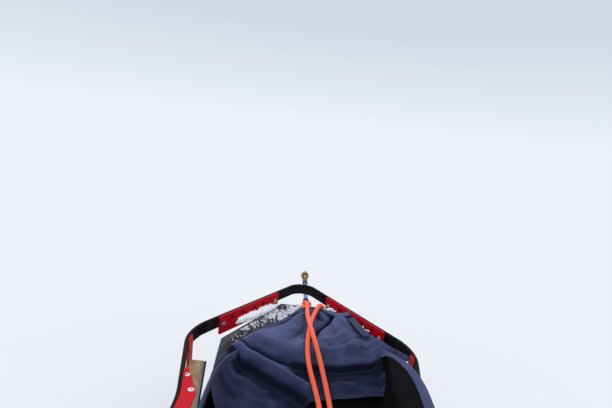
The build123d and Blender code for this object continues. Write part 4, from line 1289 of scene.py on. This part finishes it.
for share in SEIZED_AT:
    for k in range(SEIZED_TURNS):
        spot = LOOP_BACK.lerp(LOOP_FRONT, share) + LOOP_WAY * (k - (SEIZED_TURNS - 1) / 2) * TURN_PITCH * MM
        hoop = oval(spot, ACROSS * 8.6 * MM, LOOP_WAY.cross(ACROSS) * 5 * MM, 12)
        wire_along(seizing, hoop, 1.3, 6, True, 3)

# Bridle: ropes back to an eye bolt on each runner
RUNNER_X = 238.4
EYE_STATION, EYE_Z, RUNNER_TOP = 1985, 60, 46
EYE_FOOT = [(9, 0), (9.3, 1.6), (5, 2.4), (3.4, 4), (3.2, 6)]
WHIPPING_TURNS, WHIPPING_PITCH, WHIPPING_RADIUS = 9, 2.6, 6.2 * MM
bridle_ropes, eyes = Pile(), Pile()
for side, side_name in zip(SIDES, ("left", "right")):
    head, foot = place(16 + side * 9, 2528, 312), place(side * RUNNER_X, EYE_STATION, EYE_Z)
    away = (head - foot).normalized()
    line = [head + (foot + away * 24 * MM - head) * share for share in np.linspace(0, 1, 150)]
    rope = make_rope(f"bridle_rope_{side_name}", line, 5 * MM, DARK_ROPE, 14, 6, 0.14)
    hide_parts("bridle")
    out = away.cross(UP).normalized()
    ring(eyes, place(side * RUNNER_X, EYE_STATION, EYE_Z - 1), AHEAD, 9, 3)
    turned(eyes, EYE_FOOT, place(side * RUNNER_X, EYE_STATION, RUNNER_TOP), UP, 20)
    eye = oval(foot + away * 12 * MM, away * 12 * MM, UP.cross(out).cross(out) * 8 * MM, 10)
    wire_along(bridle_ropes, eye, 3.6, 8, True, 4)
    for k in range(WHIPPING_TURNS):
        spot = foot + away * (30 + WHIPPING_PITCH * k) * MM
        hoop = oval(spot, out * WHIPPING_RADIUS, out.cross(away) * WHIPPING_RADIUS, 8)
        wire_along(seizing, hoop, 1.4, 6, True, 3)
bridle_ropes.make("bridle_eyes", DARK_ROPE, "dark_rope")
eyes.make("bridle_eye_bolts", DARK_STEEL, "dark_steel")
seizing.make("seizing", DARK_ROPE, "dark_rope")

# Knot of the hand rope at the ring
KNOT = [(16, 2516, 358), (22, 2528, 354), (27, 2541, 340), (16, 2548, 330), (5, 2541, 340), (9, 2530, 354),
        (14, 2514, 360), (22, 2503, 352), (27, 2512, 345), (14, 2522, 344), (3, 2514, 349), (12, 2500, 344)]
hand_knot = make_rope("hand_rope_knot", smooth_line(places(KNOT), resolution=16), 5.6 * MM, ORANGE,
                      16)

# Front plates: each runs back from its inner end, whose place is given for the right one
PLATE_X, PLATE_STATION = 71.5, 2519.8
RUN_X, RUN_STATION = 0.5905, 0.8071


def on_plate(side, run, inward, z):
    """X, station and height of a place along a front plate and inward of its face."""
    return (side * (PLATE_X + RUN_X * run - RUN_STATION * inward),
            PLATE_STATION - RUN_STATION * run - RUN_X * inward, z)


# Fasteners that show: places for the right side, as x and station or with a height
PLATE_BOLT_RUNS = (13, 219)
GUSSET_WASHERS = ((225.5, 2093), (205, 2046), (205, 1962), (205, 1918))
WASHER_DISC = [(5.6, 0), (5.8, 0.6), (5.4, 1.3), (2.6, 1.5)]
AXLE_CAP = [(9, 0), (9, 1.6), (7, 2), (6.4, 4), (3, 5.4)]
OUTER_BOLTS = ((228, 1925, 365), (228, 2018, 365), (257.4, 2231, 362), (257.4, 2231, 312),
               (216, 1190, rail_mid(1190)))
HOOP_STATION = HOOP_FOOT[1]
BRACKET_BOLTS = [(s + face * 42, 49) for s in STANCHIONS for face in (-1, 1)]
BRACKET_BOLTS += [(HOOP_STATION + face * 34, 49) for face in (-1, 1)]
CROSS_BAR_NUTS = [(x, s, 82) for x in (60, 150) for s in (*STANCHIONS, HOOP_STATION)]
FOOT_PAD_SCREWS = [(RUNNER_X + offset, s, 58) for s in (110, 240, 370, 500, 580) for offset in (-26.6, 26.6)]
CLAMP_BOLTS = [(x, 546, 31) for x in (-150, -75, 0, 75, 150)]
TREAD_RIVETS = [(x, s, 153) for x in (-126, 126) for s in (610, 638)]
pale_washers = Pile()
for side in SIDES:
    outward = Vector((side, 0, 0))
    inward = Vector((-side * RUN_STATION, -RUN_X, 0))
    for run in PLATE_BOLT_RUNS:
        bolt(fasteners, place(*on_plate(side, run, 0, 357)), inward, 3.6)
        bolt(fasteners, place(*on_plate(side, run, -12, 362)), -inward, 4)
    for x, station in GUSSET_WASHERS:
        spot, slope = place(side * x, station, rail_mid(station) + 18), Vector((0, RAIL_SLOPE, 1))
        turned(pale_washers, WASHER_DISC, spot, slope, 28)
        turned(fasteners, HEAD, spot, slope, 18, 3, 0.4)
    for spot in places(OUTER_BOLTS, side):
        bolt(fasteners, spot, outward, 4)
    for s in STANCHIONS:
        for face in (-1, 1):
            bolt(fasteners, place(side * 236.5, s + face * 21, 70), AHEAD * face, 4)
        nut(fasteners, place(side * 244.5, s, 100), (side, 0, 0.11))
    for s, z in BRACKET_BOLTS:
        bolt(fasteners, place(side * RUNNER_X, s, z), UP, 4)
    for spot in places(CROSS_BAR_NUTS, side):
        nut(fasteners, spot, -UP)
    for spot in places(FOOT_PAD_SCREWS, side):
        bolt(fasteners, spot, UP, 2.3, washer=False)
    turned(fasteners, AXLE_CAP, place(side * 195.4, AXLE_STATION, AXLE_Z), outward, 24)
    bolt(fasteners, on_hoop(side * 176, SLAT_HEIGHT, 26).translation, HOOP_TURN @ UP, 5)
clamp_bolts, plate_rivets = Pile(), Pile()
for spot in places(CLAMP_BOLTS):
    bolt(clamp_bolts, spot, UP)
for spot in places(TREAD_RIVETS):
    bolt(plate_rivets, spot, UP, 3.6, washer=False)
clamp_bolts.make("clamp_bolts", BARE_STEEL, "bare_steel", "mat")
plate_rivets.make("plate_rivets", DARK_STEEL, "bare_steel", "brake")
pale_washers.make("pale_washers", PALE)
stitches.make("hem_stitches", THREAD, "navy_canvas", smooth=False)

# Snow: a heap that clings to the left plate, thin snow on the nose sheet, and loose crystals
snow_pile, frost_pile = Pile(), Pile()
chance = random.Random(7)
HEAP_ON_PLATE = (
    # distance along the left plate, its low and high edge, depth
    (4, 341, 344, 0), (7, 339, 347, 5), (15, 336, 349, 8), (27, 333, 355, 10), (60, 331, 358, 12),
    (92, 330, 358, 12), (118, 332, 358, 12), (142, 335, 357, 12), (160, 337, 357, 10), (169, 339, 354, 7),
    (175, 342, 347, 0),
)
BED_TOP = ((2010, 2060, 2240, 2290, 2330, 2548), (124, 150, 272, 299, 308, 333))
PLATE_SLANT = 0.7316
UNDER_SURFACE = -1.1


def lump(x, station, z, size, flat=0.6):
    """Rough crystal or clod of snow, in millimetres."""
    points = []
    rings, sides = 5, 7
    seed = chance.uniform(0, 90)
    for i in range(1, rings):
        tilt = pi * i / rings
        for k in range(sides):
            turn = 2 * pi * (k + 0.5 * (i % 2)) / sides
            way = Vector((sin(tilt) * cos(turn), sin(tilt) * sin(turn), cos(tilt)))
            r = size * (0.8 + 0.5 * noise.noise(way * 1.6 + Vector((seed, 0, 0))))
            points.append(place(x, station, z) + Vector((way.x, way.y, way.z * flat)) * r * MM)
    snow_pile.add(points, [face[::-1] for face in grid_faces(rings - 1, sides, True, "capped")])


def bed_top(station):
    """Height of the nose sheet's upper face."""
    return float(np.interp(station, *BED_TOP))


def grains(u, v, seed):
    """Rough noise of packed snow, about -1 to 1, at places in millimetres."""
    sizes = ((16, 0.9), (7, 0.75), (3.2, 0.45))
    return sum(share * noise.noise(Vector((u / size, v / size, seed + size))) for size, share in sizes)


def crust(pile, firsts, seconds, spot, bulk):
    """Snow that rises out of a surface where its bulk is above 0, in millimetres."""
    index, points = {}, []
    for i, u in enumerate(firsts):
        for j, v in enumerate(seconds):
            depth = bulk(u, v)
            if depth > UNDER_SURFACE:
                index[i, j] = len(points)
                points.append(place(*spot(u, v, depth)))
    faces = []
    for i, j in index:
        corners = [(i, j), (i + 1, j), (i + 1, j + 1), (i, j + 1)]
        if all(corner in index for corner in corners):
            faces.append([index[corner] for corner in corners])
    pile.add(points, faces)


def heap_bulk(run, z):
    """Depth of the snow that clings to the left plate."""
    runs, *edges = zip(*HEAP_ON_PLATE)
    low, high, depth = (np.interp(run, runs, values) for values in edges)
    if depth <= 0:
        return -9
    high += 5 * noise.noise(Vector((run / 17, 3.1, 0)))
    share = 2 * (z - low) / (high - low) - 1
    return depth * (1 - abs(share) ** 2.4) + 4.2 * grains(run, z, 5) - 0.6


def bed_bulk(x, station):
    """Depth of the snow on the nose sheet, between the left plate and the canvas's edge."""
    plate = -PLATE_X - (PLATE_STATION - station) * PLATE_SLANT
    edge = float(np.interp(station, (2377, 2423, 2489, 2548), (-74, -33, 7, 20)))
    cover = min(1.0, (station - 2451 + 0.12 * (x + 80)) / 16)
    if x < plate + 34 and station < 2452:
        cover = max(cover, 0.9 - (x - plate) / 26)
    if station > 2514 and x < -50:
        cover = -1.2
    if x > edge + 4 or x < plate - 2:
        cover = -9
    streaks = 2.4 * noise.noise(Vector((x / 60, station / 5, 8.5))) - 0.4 if x > -48 else 0
    return 1.5 * cover + 3.6 * grains(x * 1.25, station * 0.75, 11) + streaks


def make_snow():
    """Fills the two piles of snow."""
    crust(snow_pile, np.arange(-2, 186, 1.7), np.arange(326, 368, 1.5),
          lambda run, z, depth: on_plate(-1, run, depth, z), heap_bulk)
    crust(frost_pile, np.arange(-186, 16, 1.6), np.arange(2392, 2547, 1.8),
          lambda x, station, depth: (x, station, bed_top(station) + depth), bed_bulk)
    for _ in range(170):
        share = chance.random()
        spread = abs(chance.gauss(0, 20)) + 3
        x, station = -74 - 118 * share + RUN_STATION * spread, 2517 - 161 * share - RUN_X * spread
        lump(x, station, bed_top(station) + 1, chance.uniform(0.8, 2.8), 0.7)
    for _ in range(120):
        share = chance.random()
        run = chance.choice((14 + 34 * share, 112 + 78 * share))
        spread = abs(chance.gauss(0, 4)) + 1
        low = 347 if run < 60 else 352
        lump(*on_plate(1, run, spread, low + 12 * chance.random()), chance.uniform(1.4, 4.2), 0.8)


make_snow()
snow_pile.make("snow_on_nose", SNOW)
frost_pile.make("thin_snow_on_nose", FROST)
fasteners.make("fasteners", BARE_STEEL, "bare_steel")

# Floor and light
FLOOR_HALF = 400
HORIZON = (0.853, 0.883, 0.938)
LOW_SKY = (0.63, 0.70, 0.785)
ZENITH = (0.96, 0.98, 1.02)
SUNS = (
    # name, way from the sled to the sun, strength, angle, colour
    ("key", (-0.5, 0.75, 1.0), 0.85, 24, (1.0, 0.98, 0.95)),
    ("fill", (0.9, -0.5, 1.2), 0.1, 60, (0.94, 0.97, 1.0)),
)


def make_stage():
    """Pale floor that meets a pale sky, and two soft suns."""
    material = finish_shader(shader("floor")[0], (0.79, 0.79, 0.81, 1), 0.95, specular_ior_level=0.1)
    corners = [(FLOOR_HALF * a, FLOOR_HALF * b, 0) for a, b in ((-1, -1), (1, -1), (1, 1), (-1, 1))]
    mesh = bpy.data.meshes.new("floor")
    mesh.from_pydata(corners, [], [(0, 1, 2, 3)])
    mesh.materials.append(material)
    floor = show("floor", mesh)
    floor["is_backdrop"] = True
    world = bpy.data.worlds.new("sky")
    bpy.context.scene.world = world
    world.use_nodes = True
    sky = world.node_tree
    way = node(sky, "ShaderNodeTexCoord").outputs["Generated"]
    height = node(sky, "ShaderNodeSeparateXYZ", {0: way}).outputs[2]
    sky_colour = layered(sky, HORIZON, (height, (0.0, 0.22), LOW_SKY), (height, (0.34, 0.8), ZENITH))
    sky.links.new(sky_colour, sky.nodes["Background"].inputs["Color"])
    sky.nodes["Background"].inputs["Strength"].default_value = 1.0
    for name, way, strength, angle, colour in SUNS:
        lamp = bpy.data.lights.new(name, "SUN")
        lamp.energy, lamp.angle, lamp.color = strength, radians(angle), colour
        show(name, lamp).rotation_euler = Vector(way).to_track_quat("Z", "Y").to_euler()
    bpy.context.scene.view_settings.view_transform = "Standard"


make_stage()

low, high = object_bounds()
